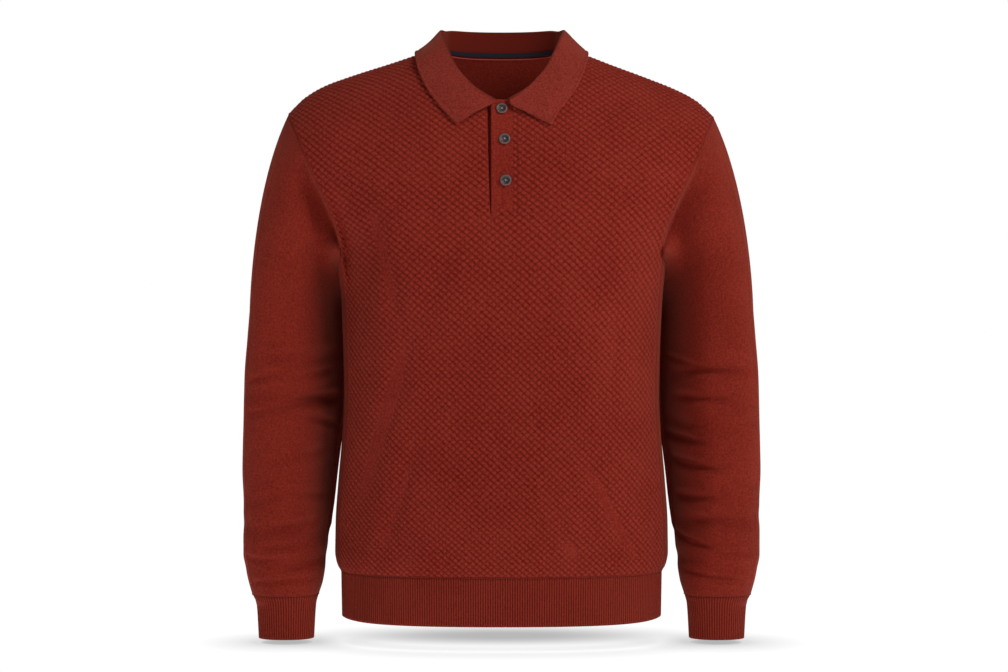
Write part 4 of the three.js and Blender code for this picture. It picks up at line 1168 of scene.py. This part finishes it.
def front_panel(cloth):
    # A net over the whole front and a little more, with four cells to each repeat
    du, dv = LATTICE_WIDE / 4, LATTICE_HIGH / 4
    us = np.arange(-math.ceil(300 / du), math.ceil(300 / du) + 1) * du
    vs = np.arange(-math.ceil(430 / dv), math.ceil(330 / dv) + 1) * dv
    u, v = np.meshgrid(us, vs)
    inside = inside_front(cloth, *cloth.where(u, v), u, v)[0]
    inside = np.where(np.abs(inside) < OUTLINE_SNAP, 0.0, inside)
    ids = -np.ones(u.shape, int)
    ids[inside >= 0] = np.arange((inside >= 0).sum())
    squares = quads(ids[:-1, :-1], ids[:-1, 1:], ids[1:, 1:], ids[1:, :-1])
    squares = squares[(squares >= 0).all(1)]
    flat, triangles = cut_cells(ids, inside, u, v)
    x, z = cloth.where(*flat.T)
    outer, _ = front_surface(x, z)

    sides = [squares[:, [k, (k + 1) % 4]] for k in range(4)]
    sides = np.concatenate(sides + [triangles[:, [k, (k + 1) % 3]] for k in range(3)])
    pairs, uses = np.unique(np.sort(sides, axis=1), axis=0, return_counts=True)
    border = pairs[uses == 1]
    net, lining, link = front_lining(cloth, flat, border, us, vs)
    inner, normal = front_surface(*cloth.where(*net.T), creases=False)
    start = len(flat)
    directed = {tuple(e) for e in sides.tolist()}
    rim = []
    for p, q in border.tolist():
        if (p, q) not in directed:
            p, q = q, p
        if p in link and q in link:
            rim.append((q, p, start + link[p], start + link[q]))

    # The cut: the widest row, a column at the neck's side, and the area shown
    levels = np.linspace(RIB_SEAM_Z, -150, 30)[:, None]
    rows = front_surface(np.linspace(-1, 1, 161) * front_edge(levels), levels)[0]
    height = np.linspace(RIB_SEAM_Z, float(ridge_height(NECK_HALF_WIDTH)), 600)
    column = front_surface(np.full(600, NECK_HALF_WIDTH), height)[0]
    within, free = inside_front(cloth, x, z, *flat.T)
    unseen = np.zeros(len(net))
    marks = {
        "raise": np.concatenate([np.clip(within / RAISE_FADE, 0, 1), unseen]),
        "pattern": np.concatenate([np.clip(free / PATTERN_FADE, 0, 1), unseen]),
    }
    panel = finished(
        "front", np.concatenate([outer, inner - normal * WALL]),
        [squares, triangles, lining[:, ::-1] + start, np.array(rim)],
        np.concatenate([flat, net]), FRONT_KNIT, marks,
    )
    return with_blisters(panel)


def with_blisters(piece):
    return made_by(piece, RAISE_BLISTERS, Height=BLISTER_HEIGHT / 2 * MM, Material=FRONT_KNIT)


# ---------------------------------------------------------------- back, sleeves, ribs


def back_panel():
    r = np.linspace(0, SHOULDER_ROWS + BODY_ROWS, 169)[:, None]
    k = np.linspace(-1, 1, 209)
    x = np.broadcast_to(SHOULDER_X * (0.55 * k + 0.45 * k**3), (len(r), len(k)))
    beyond_neck = np.abs(x) >= NECK_HALF_WIDTH
    top = np.where(beyond_neck, ridge_height(x), back_neck(x))
    upper = mix(top, UNDERARM_Z, shoulder_share(np.minimum(r, SHOULDER_ROWS)))
    lower = mix(UNDERARM_Z, RIB_SEAM_Z, (r - SHOULDER_ROWS) / BODY_ROWS)
    z = np.where(r <= SHOULDER_ROWS, upper, lower)
    part = np.abs(angle_at(x, SHOULDER_Z)) / np.abs(angle_at(SHOULDER_X, SHOULDER_Z))
    angle = math.pi - np.sign(x) * part * np.radians(read(BODY, "back_reach", z))
    normals = body_normal(angle, z)
    on_line = ((r == 0) & beyond_neck)[..., None]
    points = np.where(on_line, xyz(x, RIDGE_Y, z), body_point(angle, z))
    soft = np.maximum(0, 1 - (np.abs(x) / SHOULDER_X) ** 6) * edge_hold(z)
    depth = sum(fold_depth(folds, points[..., 0], z) for folds in (BACK_FOLDS, BACK_CREASES))
    beside = smooth((55 - points[..., 1]) / 90)
    points = points + normals * (depth * soft - edge_turn(z))[..., None]
    points[..., 1] += turned_back(x, z) * seam_turn(z) * beside
    points[0, :, 1] += np.where(beyond_neck[0], SEAM / 2, 0)
    # Painted shade on the back's inner face, darker further down inside the body
    shade_lower_down = np.clip((-points[..., 2] - 14) / 50, 0, 1) ** 1.2
    return cloth_wall("back", points, normals, PLAIN_KNIT, lining={"wrong_side": shade_lower_down})


def armhole(side):
    """Loop of the armhole: points, the shared thickness direction and the parting direction."""
    down_rows = np.linspace(0, SHOULDER_ROWS, 101)
    up_rows = down_rows[::-1][1:-1]
    ridge = float(ridge_height(side * SHOULDER_X))
    z_front = mix(ridge, UNDERARM_Z, shoulder_share(down_rows))
    z_back = mix(ridge, UNDERARM_Z, shoulder_share(up_rows))
    front_angle = side * np.radians(read(BODY, "front_reach", z_front))
    back_angle = math.pi - side * np.radians(read(BODY, "back_reach", z_back))
    angle = np.concatenate([front_angle, back_angle])
    z = np.concatenate([z_front, z_back])
    points, normal = body_point(angle, z), body_normal(angle, z)
    points[0] = (side * SHOULDER_X, RIDGE_Y, ridge)
    along = unit(np.roll(points, -1, 0) - np.roll(points, 1, 0))
    face = unit(np.cross(along, np.array([side * 0.34, 0, -0.94])))
    radial = points - points.mean(0)
    radial = unit(radial - along * (radial * along).sum(-1, keepdims=True))
    face *= np.where((face * radial).sum(-1, keepdims=True) < 0, -1, 1)
    rim = unit(normal + face + radial * 1.5)
    parting = unit(np.cross(along, rim))
    parting *= np.where((parting * np.array([side, 0, -0.3])).sum(-1, keepdims=True) < 0, -1, 1)
    lengths = arc_lengths(np.concatenate([points, points[:1]]), 0)
    turns = 2 * math.pi * lengths[:-1] / lengths[-1]
    return points, rim, parting, turns


def ring_point(rows, side, turn, z):
    """A place on the sleeve's or cuff's ring at one height; turn 0 is the outer edge."""
    outer, inner = read(rows, "outer", z), read(rows, "inner", z)
    depth, middle = read(rows, "depth", z), read(rows, "y", z)
    across, over = (signed_power(f(turn), 2 / SLEEVE_SQUARENESS) for f in (np.cos, np.sin))
    x = (outer + inner) / 2 + (outer - inner) / 2 * across
    y = middle - depth * over
    lean = read(LEAN, "back", z)
    tuck = read(LEAN, "tuck_left" if side < 0 else "tuck_right", z)
    inward = (1 - np.cos(turn)) / 2
    return xyz(side * (x - tuck * inward**2), y - lean * np.cos(turn), z)


def sleeve_fold(folds, turn, z):
    total = np.zeros(np.broadcast(turn, z).shape)
    for around, at, reach, width, rise, depth in zip(*folds.values()):
        off = np.mod(turn - math.radians(around) + math.pi, 2 * math.pi) - math.pi
        share = off / math.radians(reach)
        total += depth * trough((z - at - rise * share) / width, share)
    # The side that lies against the body stays calm
    beside_body = np.exp(-(((turn - math.pi) / 0.7) ** 4)) * smooth((z + 520) / 50)
    return total * (1 - beside_body)


def armpit_depth(points, from_seam):
    """How far back the sleeve falls beside the body's edge."""
    x, y, z = np.abs(points[..., 0]), points[..., 1], points[..., 2]
    edge = mix(read(BODY, "half", z), front_edge(z), np.clip((z + 280) / 45, 0, 1))
    beside = bell(np.maximum(0, x - edge), BESIDE_WIDE)
    rear = smooth((y - read(SLEEVE, "y", z) + 10) / 30)
    from_lowest = np.hypot(x - HOLD_X, z - UNDERARM_Z - HOLD_RISE)
    near = (1 - bell(from_seam, NEAR_WIDE)) * (1 - bell(from_lowest, HOLD_RADIUS))
    return read(ARMPIT, "back", z) * beside * near * (1 - 0.65 * rear)


def sleeve(name, side, folds, creases):
    loop, rim, parting, turns = armhole(side)
    start = loop + parting * SEAM / 2
    end = ring_point(SLEEVE, side, turns, UPPER_ARM_Z)
    reach = np.linalg.norm(loop - end, axis=1, keepdims=True) * 0.9
    leave = unit(xyz(side * mix(0.02, 0.5, (1 + np.cos(turns)) / 2), 0, -1)) * reach
    arrive = unit(np.array([side * 0.03, 0, -1.0])) * reach
    cap = curve_between(start, leave, end, arrive, np.linspace(0, 1, 61)[:, None, None])
    zs = mix(UPPER_ARM_Z, CUFF_SEAM_Z, np.linspace(0, 1, 117)[1:])[:, None]
    points = np.concatenate([cap, ring_point(SLEEVE, side, turns[None, :], zs)])
    points[..., 1] += armpit_depth(points, arc_lengths(points, 0))
    normals = grid_normals(points, tube=True)
    row, z = np.arange(len(points))[:, None], points[..., 2]
    fade = np.minimum(1, row / 12) * np.minimum(1, row[::-1] / 5)
    depth = sleeve_fold(folds, turns[None, :], z) + sleeve_fold(creases, turns[None, :], z)
    off_edge = turns[None, :] - np.radians(read(PRESSED, "around", z))
    pressed = 0.9 * bell(off_edge, 0.045) * np.clip((-110 - z) / 60, 0, 1)
    points = points + normals * ((depth + pressed) * fade)[..., None]
    normals[0] = rim
    return cloth_wall(name, points, normals, PLAIN_KNIT, tube=True)


def even_turns(curve, count):
    """Turns that part a closed curve into equal lengths, and its whole length."""
    t = np.linspace(0, 2 * math.pi, 4001)
    length = arc_lengths(curve(t), 0)
    return np.interp(np.arange(count) / count * length[-1], length, t), length[-1]


def hem_point(turn, z):
    front, back = read(HEM, "front", z), read(HEM, "back", z)
    x = read(HEM, "half", z) * signed_power(np.sin(turn), 2 / SQUARENESS)
    y = -np.where(np.cos(turn) > 0, front, back) * signed_power(np.cos(turn), 2 / SQUARENESS)
    # The free edge rises a little at the sides
    risen = z + 3.5 * np.abs(np.sin(turn)) ** 8 * (RIB_SEAM_Z - z) / (RIB_SEAM_Z - HEM_Z)
    return xyz(x, y, risen)


def ribbed(name, curve, top, bottom, per_rib=8):
    """A ribbed tube that rounds in at its free lower edge."""
    zs = np.linspace(top, bottom, 17)
    ribs = round(even_turns(lambda turn: curve(turn, bottom), 1)[1] / RIB_PITCH)
    turns, _ = even_turns(lambda turn: curve(turn, bottom), ribs * per_rib)
    points = np.stack([curve(turns, z) for z in zs])
    count = np.broadcast_to(np.arange(ribs * per_rib) / per_rib + 0.5, points.shape[:2])
    height = np.interp(zs, [bottom, bottom + 2.0, top - 2.5, top], [0.6, 1, 1, 0.75])[:, None]
    uv = np.stack(np.broadcast_arrays(count * RIB_PITCH, zs[:, None]), axis=-1)
    marks = {"raise": np.broadcast_to(height, count.shape), "turn": count}
    normals = grid_normals(points, tube=True)
    tube = cloth_wall(name, points, normals, RIB_KNIT, per_rib, tube=True, uv=uv, extra=marks)
    return made_by(tube, RAISE_RIBS, Height=RIB_HEIGHT * MM, Material=RIB_KNIT)


# ---------------------------------------------------------------- collar and placket
def collar_row(station, side):
    row = {key: float(values[station]) for key, values in COLLAR.items()}
    if side > 0:
        row.update(RIGHT_COLLAR.get(station, {}))
    return row


def collar_station(row, number, side, seam_inner):
    """Section of the collar at one station: stand, roll, knee and leaf, down to the free edge."""
    fold = np.array([side * row["fold_x"], row["fold_y"], row["fold_z"]])
    x = side * row["edge_x"]
    if number < SHOULDER_STATION:
        edge = on_front(x, row["edge_z"], row["lift"])
    elif number > SHOULDER_STATION:
        edge = on_back(x, row["edge_z"], row["lift"])
    else:
        edge, normal = on_ridge(x)
        edge = edge + normal * row["lift"]
    up = unit(fold - seam_inner)
    start = seam_inner + up * SEAM
    crest = unit(unit(fold - edge) + up)
    outward = edge - start
    outward = unit(outward - crest * (outward @ crest))
    foot = fold - outward * FOLD_RADIUS - crest * FOLD_RADIUS
    face = [start, mix(start, foot, 0.5)]
    for share in np.arange(5) / 4:
        turn = math.pi * share
        drop = row["drop"] * share**2
        rolled = crest * (math.sin(turn) - 1) - outward * math.cos(turn)
        face.append(fold + rolled * FOLD_RADIUS + np.array([0, -drop / 4, -drop]))
    knee = face[-1]
    for share in (0.35, 0.7):
        point = mix(knee, edge, share) + outward * 4 * row["belly"] * share * (1 - share)
        if number < SHOULDER_STATION:
            normal = body_normal(angle_at(point[0], point[2]), point[2])
            off = (point - on_front(point[0], point[2])) @ normal
            point = point + normal * max(0.0, row["lift"] - off)
        face.append(point)
    return np.array(face + [edge])


def smooth_through(points, count, axis):
    """Smooth curve through the points of one axis, with count steps between neighbours."""
    points = np.moveaxis(points, axis, 0)
    first, last = 2 * points[0] - points[1], 2 * points[-1] - points[-2]
    p = np.concatenate([[first], points, [last]])
    rows = [
        curve_between(b, (c - a) / 2, c, (d - b) / 2, t)
        for a, b, c, d in zip(p, p[1:], p[2:], p[3:]) for t in np.arange(count) / count
    ]
    return np.moveaxis(np.array(rows + [points[-1]]), 0, axis)


def collar_face():
    """The collar's sections, from its left front end round the back to its right front end."""
    stations = []
    for side in (-1, 1):
        half = []
        for k in range(len(COLLAR["neck"])):
            row = collar_row(k, side)
            x = side * row["neck"]
            if k == 0:
                z = float(front_neck(x))
                raised = float(band_lift(x, z)) + 0.5 if side > 0 else 0.4
                inner = on_front(x, z, raised - WALL)
            elif k < SHOULDER_STATION:
                inner = on_front(x, float(front_neck(x)), -WALL)
            elif k == SHOULDER_STATION:
                outer, normal = on_ridge(x)
                inner = outer - normal * WALL
            else:
                inner = on_back(x, float(back_neck(x)), -WALL)
            half.append(collar_station(row, k, side, inner))
        if side < 0:
            half[0][1:7] = LEFT_END
        stations.append(half)
    return np.array(stations[0] + stations[1][:-1][::-1])


def collar_piece():
    face = collar_face()
    fine = smooth_through(smooth_through(face, 12, 0), 8, 1)
    on_roll = smooth((fine[..., 2] - 6) / 18)
    fine[..., 2] -= DIP * bell(np.abs(fine[..., 0]) - DIP_X, DIP_WIDE) * on_roll
    normals = unit(np.cross(np.gradient(fine, axis=0), np.gradient(fine, axis=1)))
    # The free edge and the front ends are knitted as a tube: a rounded welt with a groove behind it
    from_edge = arc_lengths(fine[:, ::-1], 1)[:, ::-1]
    along = arc_lengths(fine, 0)
    from_ends = np.minimum(along, along[-1:] - along)
    column = np.arange(fine.shape[1])[None, :]
    on_leaf = np.clip((column - ROLL_COLUMN + 6) / 6, 0, 1)
    from_ends = np.where(on_leaf > 0, from_ends / np.maximum(on_leaf, 1e-3), 1e3)
    distance = np.minimum(from_edge, from_ends)
    roll, groove = (bell(distance - at, wide) for at, wide in (WELT_ROLL, WELT_GROOVE))
    top = fine + normals * (WELT_HIGH * (roll - groove) * on_leaf)[..., None]
    uv = np.stack([along - along[len(along) // 2], -arc_lengths(fine, 1)], axis=-1)
    # Painted shade on the collar's stand, low inside the neck
    stand = np.broadcast_to(smooth((ROLL_COLUMN - column) / 14), fine.shape[:2])
    piece = cloth_wall("polo_collar", top, normals, COLLAR_KNIT, uv=uv, extra={"wrong_side": stand})
    return piece, face


def back_stations(face, columns, count):
    """The collar's net round the back of the neck, made finer."""
    middle = (len(face) - 1) // 2
    return smooth_through(face[middle - 5:middle + 6, columns], count, 0)


def tape_piece(face):
    line = back_stations(face, slice(0, 2), 10)
    foot, rise = line[:, 0], line[:, 1] - line[:, 0]
    inward = unit(np.cross(np.gradient(foot, axis=0), rise))
    shares = np.linspace(*TAPE_EDGES, 13)[:, None, None]
    points = (foot + rise * shares + inward * (GAP + TAPE_WALL))[:, 10:-10]
    normals = np.broadcast_to(inward[10:-10], points.shape)
    uv = along_cloth(points)
    return cloth_wall("back_neck_tape", points, normals, TAPE, thick=TAPE_WALL, uv=uv)


def band_lift(x, z):
    """The upper band gapes at the top left and lies flush along its right side and bottom."""
    across = np.clip((BAND_RIGHT - x) / (BAND_RIGHT - BAND_LEFT), 0, 1)
    rise = np.clip((z - BAND_BOTTOM_Z) / BAND_LENGTH, 0, 1)
    return across**2 * (1.1 + 2.3 * rise**1.5) * smooth((z - BAND_BOTTOM_Z) / 12)


def placket_upper(cloth):
    x = np.broadcast_to(np.linspace(BAND_LEFT, BAND_RIGHT, 45), (193, 45))
    short = np.maximum(0, BAND_CORNER - (x - BAND_LEFT)) / BAND_CORNER
    top = front_neck(x) - BAND_CORNER * (1 - np.sqrt(1 - short**2))
    z = mix(top, BAND_BOTTOM_Z, np.linspace(0, 1, len(x))[:, None])
    above = z - BAND_BOTTOM_Z
    edge = np.minimum(x - BAND_LEFT, top - z)
    folded = 0.5 * bell(edge, 0.9) - 0.25 * bell(edge - 2.4, 1.1)
    outer = on_front(x, z, band_lift(x, z) - folded)
    # The lattice shows at the right of the buttons and below them
    beside = np.clip((x - PLAIN_RIGHT) / 2.5, 0, 1) * np.clip((top - z - 3) / 3, 0, 1)
    below = np.clip((14 - above) / 8, 0, 1) * np.clip((x - BAND_LEFT - 4) / 4, 0, 1)
    pattern = np.maximum(beside, below)
    from_edges = np.clip((BAND_RIGHT - x) / RAISE_FADE, 0, 1) * np.clip(above / RAISE_FADE, 0, 1)
    return with_blisters(cloth_wall(
        "placket_upper", outer, body_normal(angle_at(x, z), z), FRONT_KNIT,
        uv=np.stack(cloth.lattice(x, z), axis=-1),
        extra={"raise": pattern * from_edges, "pattern": pattern},
    ))


def placket_lower():
    low, high = drawn("placket_underlap")
    x = np.broadcast_to(np.linspace(low[0], high[0], 21), (81, 21))
    z = mix(front_neck(x) - 0.6, low[2], np.linspace(0, 1, len(x))[:, None])
    outer = on_front(x, z, -WALL - GAP - BAND_DEEPER)
    normals = body_normal(angle_at(x, z), z)
    return cloth_wall("placket_lower", outer, normals, PLAIN_KNIT, uv=np.stack([x, z], axis=-1))


# ---------------------------------------------------------------- buttons


def lathe(section, steps):
    """Points and faces of a turned shape, from its section's radii and heights."""
    turn = np.arange(steps) / steps * 2 * math.pi
    rings = [[(r * math.cos(t), r * math.sin(t), h) for t in turn] for r, h in section[1:-1]]
    rings = np.array(rings)
    ends = np.array([[0, 0, section[0][1]], [0, 0, section[-1][1]]])
    points = np.concatenate([ends[:1], rings.reshape(-1, 3), ends[1:]])
    ids = 1 + np.arange(len(rings) * steps).reshape(len(rings), steps)
    after = np.roll(ids, -1, axis=1)
    ends = [
        np.stack([after[0], ids[0], np.zeros(steps, int)], axis=1),
        np.stack([ids[-1], after[-1], np.full(steps, len(points) - 1)], axis=1),
    ]
    return points, [quads(ids[:-1], after[:-1], after[1:], ids[1:]), np.concatenate(ends)]


def hole_way(button, n):
    """Direction from the button's middle to its n-th hole."""
    around = math.radians(45 + 90 * n + 12 * button)
    return np.array([math.cos(around), math.sin(around), 0])


def buttons():
    made = []
    for k, (x, z) in enumerate(BUTTON_PLACES, 1):
        seat = on_front(x, z, float(band_lift(x, z)) + GAP + 0.05)
        normal = body_normal(angle_at(x, z), z)
        turn = np.array(Vector((0, 0, 1)).rotation_difference(Vector(normal)).to_matrix())
        points, faces = lathe(BUTTON_SECTION, 48)
        disc = finished(f"button_{k}_disc", points @ turn.T + seat, faces, points[:, :2], BUTTON)
        cutters = []
        for n in range(4):
            hole, faces = lathe([(0, -1), (HOLE_RADIUS, -1), (HOLE_RADIUS, 5), (0, 5)], 16)
            hole = hole + hole_way(k, n) * HOLE_REACH
            placed_hole = hole @ turn.T + seat
            cutters.append(finished(f"hole_{k}_{n}", placed_hole, faces, hole[:, :2], BUTTON))
            cut = disc.modifiers.new("hole", "BOOLEAN")
            cut.operation, cut.solver, cut.object = "DIFFERENCE", "EXACT", cutters[-1]
        made += [baked(disc), thread_cross(k, turn, seat)]
        for cutter in cutters:
            bpy.data.objects.remove(cutter)
    return made


def tube_along(path, radius, sides=8):
    """Points and faces of a closed round strand along a path."""
    tangent = unit(np.gradient(path, axis=0))
    side = unit(np.cross(tangent, np.array([0.3, 0.2, 1.0])))
    up = np.cross(side, tangent)
    turn = (np.arange(sides) / sides * 2 * math.pi)[:, None]
    radii = np.full(len(path), radius)
    radii[[0, -1]] = radius / 2
    around = side[:, None] * np.cos(turn) + up[:, None] * np.sin(turn)
    rings = path[:, None] + radii[:, None, None] * around
    points = np.concatenate([rings.reshape(-1, 3), path[:1], path[-1:]])
    ids = np.arange(len(path) * sides).reshape(len(path), sides)
    after = np.roll(ids, -1, axis=1)
    ends = [
        np.stack([ids[0], after[0], np.full(sides, len(points) - 2)], axis=1),
        np.stack([after[-1], ids[-1], np.full(sides, len(points) - 1)], axis=1),
    ]
    return points, [quads(ids[:-1], ids[1:], after[1:], after[:-1]), np.concatenate(ends)]


def thread_cross(k, turn, seat):
    """Two double strands of thread, crossed, that dip into the holes at their ends."""
    points, faces = [], [[], []]
    s = np.linspace(-1, 1, 17)[:, None]
    for n in range(2):
        way = hole_way(k, n)
        across = np.array([-way[1], way[0], 0])
        height = WELL_FLOOR + 0.45 - 3.75 * np.maximum(0, np.abs(s) - 0.8) + 0.12 * n
        for shift in (-THREAD_APART / 2, THREAD_APART / 2):
            path = way * s * THREAD_REACH + across * shift + np.array([0, 0, 1]) * height
            strand, strand_faces = tube_along(path, THREAD_RADIUS)
            for kept, new in zip(faces, strand_faces):
                kept.append(new + sum(map(len, points)))
            points.append(strand)
    points = np.concatenate(points)
    faces = [np.concatenate(kind) for kind in faces]
    return finished(f"button_{k}_thread", points @ turn.T + seat, faces, points[:, :2], THREAD)


# ---------------------------------------------------------------- seams
def neck_seam(face):
    """The linking row below the tape, on the inside of the back neck."""
    foot = back_stations(face, 0, 12)
    inward = unit(np.cross(np.gradient(foot, axis=0), np.array([0, 0, 1.0])))
    inward *= np.where(inward[:, 1:2] > 0, -1, 1)
    points = foot + inward * 0.6 - np.array([0, 0, SEAM])
    return points[8:-8], inward[8:-8]


def seam_rows():
    """The linked seams: name, points, the cloth's normals and whether the row closes."""
    rows = []
    half_seam = np.array([0, 0, SEAM / 2])
    for side, label in ((-1, "left"), (1, "right")):
        loop, rim = armhole(side)[:2]
        rows.append((f"{label}_armhole_seam", loop + rim * 0.15, rim, True))
        line, normal = on_ridge(np.linspace(NECK_HALF_WIDTH + 1, SHOULDER_X - 1, 90) * side)
        rows.append((f"{label}_shoulder_seam", line + normal * 0.1, normal, False))
        z = np.linspace(UNDERARM_Z - 1, RIB_SEAM_Z + 1, 160)
        angle = side * np.radians(read(BODY, "front_reach", z))
        normal = body_normal(angle, z)
        line = body_point(angle, z) + normal * (0.1 - edge_turn(z))[:, None]
        line[:, 1] += turned_back(line[:, 0], z) * seam_turn(z)
        rows.append((f"{label}_side_seam", line, normal, False))
        ring = ring_point(SLEEVE, side, np.arange(120) / 120 * 2 * math.pi, CUFF_SEAM_Z)
        out = unit(ring - ring.mean(0))
        rows.append((f"{label}_cuff_seam", ring - out * 0.1 - half_seam, out, True))
    ring = hem_point(np.arange(360) / 360 * 2 * math.pi, RIB_SEAM_Z)
    out = unit((ring - ring.mean(0)) * np.array([1, 2, 0]))
    rows.append(("hem_seam", ring + out * 0.2 - half_seam, out, True))
    return rows


# ---------------------------------------------------------------- camera, light, floor
def look_along(obj, direction):
    obj.rotation_euler = Vector(direction).to_track_quat("-Z", "Y").to_euler()


camera = placed("camera", bpy.data.cameras.new("camera"))
bpy.context.scene.camera = camera
camera.location = (3.1 * MM, -3000 * MM, -361 * MM)
look_along(camera, (0, 1, 0))
camera.data.sensor_width = 36
camera.data.lens = 85.7
camera.data.clip_end = 100


def area_light(name, place, aim, size, energy, colour):
    light = placed(name, bpy.data.lights.new(name, "AREA"))
    light.data.shape = "RECTANGLE"
    light.data.size, light.data.size_y = size
    light.data.energy = energy
    light.data.color = colour
    light.location = place
    look_along(light, Vector(aim) - Vector(place))
    return light


# Name, place, aim, width and height in metres, watts, colour
MIDDLE, WARM_WHITE = (0.0, 0.0, -0.36), (1.0, 0.98, 0.96)
for light in (
    ("main_softbox", (1.41, -1.41, 1.31), MIDDLE, (1.0, 1.3), 28.0, WARM_WHITE),
    ("left_softbox", (-1.95, -0.63, 1.24), MIDDLE, (0.8, 1.4), 5.5, (1.0, 0.99, 0.98)),
    ("top_softbox", (0.4, -0.5, 1.7), (0.0, 0.0, -0.1), (1.0, 0.8), 3.4, WARM_WHITE),
    ("right_softbox", (2.03, -0.66, 1.13), MIDDLE, (0.8, 1.4), 4.5, WARM_WHITE),
):
    area_light(*light)
neck_fill = area_light(
    "neck_fill", (0, -0.04, -0.17), (0, 0.1, -0.03), (0.16, 0.06), 0.1, (1.0, 0.95, 0.9)
)
neck_fill.visible_camera = False

# A white room to the camera that gives the garment only a little light
AMBIENT = 0.02
WHITE = (1, 1, 1, 1)
bpy.context.scene.view_settings.view_transform = "Standard"
world = bpy.data.worlds.new("studio")
bpy.context.scene.world = world
world.use_nodes = True
room = world.node_tree
room.nodes.clear()
seen = node(room, "ShaderNodeBackground", {0: WHITE, 1: 1.0})
ambient = node(room, "ShaderNodeBackground", {0: WHITE, 1: AMBIENT})
to_camera = node(room, "ShaderNodeLightPath").outputs["Is Camera Ray"]
both = node(room, "ShaderNodeMixShader", {0: to_camera, 1: ambient, 2: seen})
node(room, "ShaderNodeOutputWorld", {0: both})

FLOOR_Z = cad_low.z - 6 * MM
floor_mesh = bpy.data.meshes.new("floor")
corners = [(x, y, FLOOR_Z) for x, y in ((-12, -6), (12, -6), (12, 40), (-12, 40))]
floor_mesh.from_pydata(corners, [], [(0, 1, 2, 3)])
floor = placed("floor", floor_mesh)
paper = bpy.data.materials.new("pale_paper")
paper.use_nodes = True
sheet = paper.node_tree
sheet.nodes.clear()
# The floor glows instead of being lit; its shadow is painted into that glow: a contact shadow from
# occlusion and an ellipse under the garment
painted_contact_shadow = node(sheet, "ShaderNodeAmbientOcclusion", {"Distance": 0.09}, samples=16)
# Painted shadow inside the hem's ring, which is open above: an ellipse, its half sizes in metres
SHADE_HALF_WIDTH, SHADE_HALF_DEPTH, SHADE_BACK = 0.19, 0.085, 0.045
spot = node(sheet, "ShaderNodeMapping", {
    "Scale": (1 / SHADE_HALF_WIDTH, 1 / SHADE_HALF_DEPTH, 1),
    "Location": (0, -SHADE_BACK / SHADE_HALF_DEPTH, 0),
    "Vector": object_place(sheet),
})
flat_spot = node(sheet, "ShaderNodeVectorMath", {0: spot, 1: (1, 1, 0)}, operation="MULTIPLY")
outside_painted_shadow = step_between(sheet, length_of(sheet, flat_spot), 0.2, 1.6, 0.3)
lit = math_node(sheet, "MINIMUM", painted_contact_shadow.outputs["AO"], outside_painted_shadow)
painted_floor_tone = blend_colours(sheet, lit, (0.25, 0.25, 0.25), (1.02, 1.02, 1.02))
glow = node(sheet, "ShaderNodeEmission", {"Color": painted_floor_tone})
node(sheet, "ShaderNodeOutputMaterial", {0: glow})
floor_mesh.materials.append(paper)


# ---------------------------------------------------------------- the garment
def dress(obj, slot, *nodes):
    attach(obj, "root")
    if nodes:
        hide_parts(*nodes)
    return obj


cloth = FrontCloth()
front = dress(front_panel(cloth), "front_knit", "body_front")
back = dress(back_panel(), "plain_knit", "body_back")
left_sleeve, right_sleeve = (
    dress(sleeve(name, side, folds, creases), "plain_knit", cad)
    for name, side, folds, creases, cad in (
        ("left_sleeve", -1, LEFT_FOLDS, LEFT_CREASES, "sleeve_left"),
        ("right_sleeve", 1, RIGHT_FOLDS, RIGHT_CREASES, "sleeve_right"),
    )
)
hem = dress(ribbed("hem", hem_point, RIB_SEAM_Z - SEAM, HEM_Z), "rib_knit", "hem_rib")
for name, side, cad in (("left_cuff", -1, "cuff_left"), ("right_cuff", 1, "cuff_right")):
    cuff = ribbed(name, partial(ring_point, CUFF, side), CUFF_SEAM_Z - SEAM, CUFF_HEM_Z)
    dress(cuff, "rib_knit", cad)
collar, collar_net = collar_piece()
dress(collar, "collar_knit", "collar")
tape = dress(tape_piece(collar_net), "tape", "neck_tape")
overlap = dress(placket_upper(cloth), "front_knit", "placket_overlap")
underlap = dress(placket_lower(), "plain_knit", "placket_underlap")
for piece in buttons():
    number = piece.name.split("_")[1]
    dress(piece, "button", *([f"button_{number}"] if piece.name.endswith("disc") else []))

for name, points, out, closed in seam_rows():
    dress(sewn(name, points, out, closed=closed), "plain_knit")
neck_row = sewn(
    "back_neck_seam", *neck_seam(collar_net), wide=1.6, thick=1.3, material=NECK_YARN
)
dress(neck_row, "plain_knit")
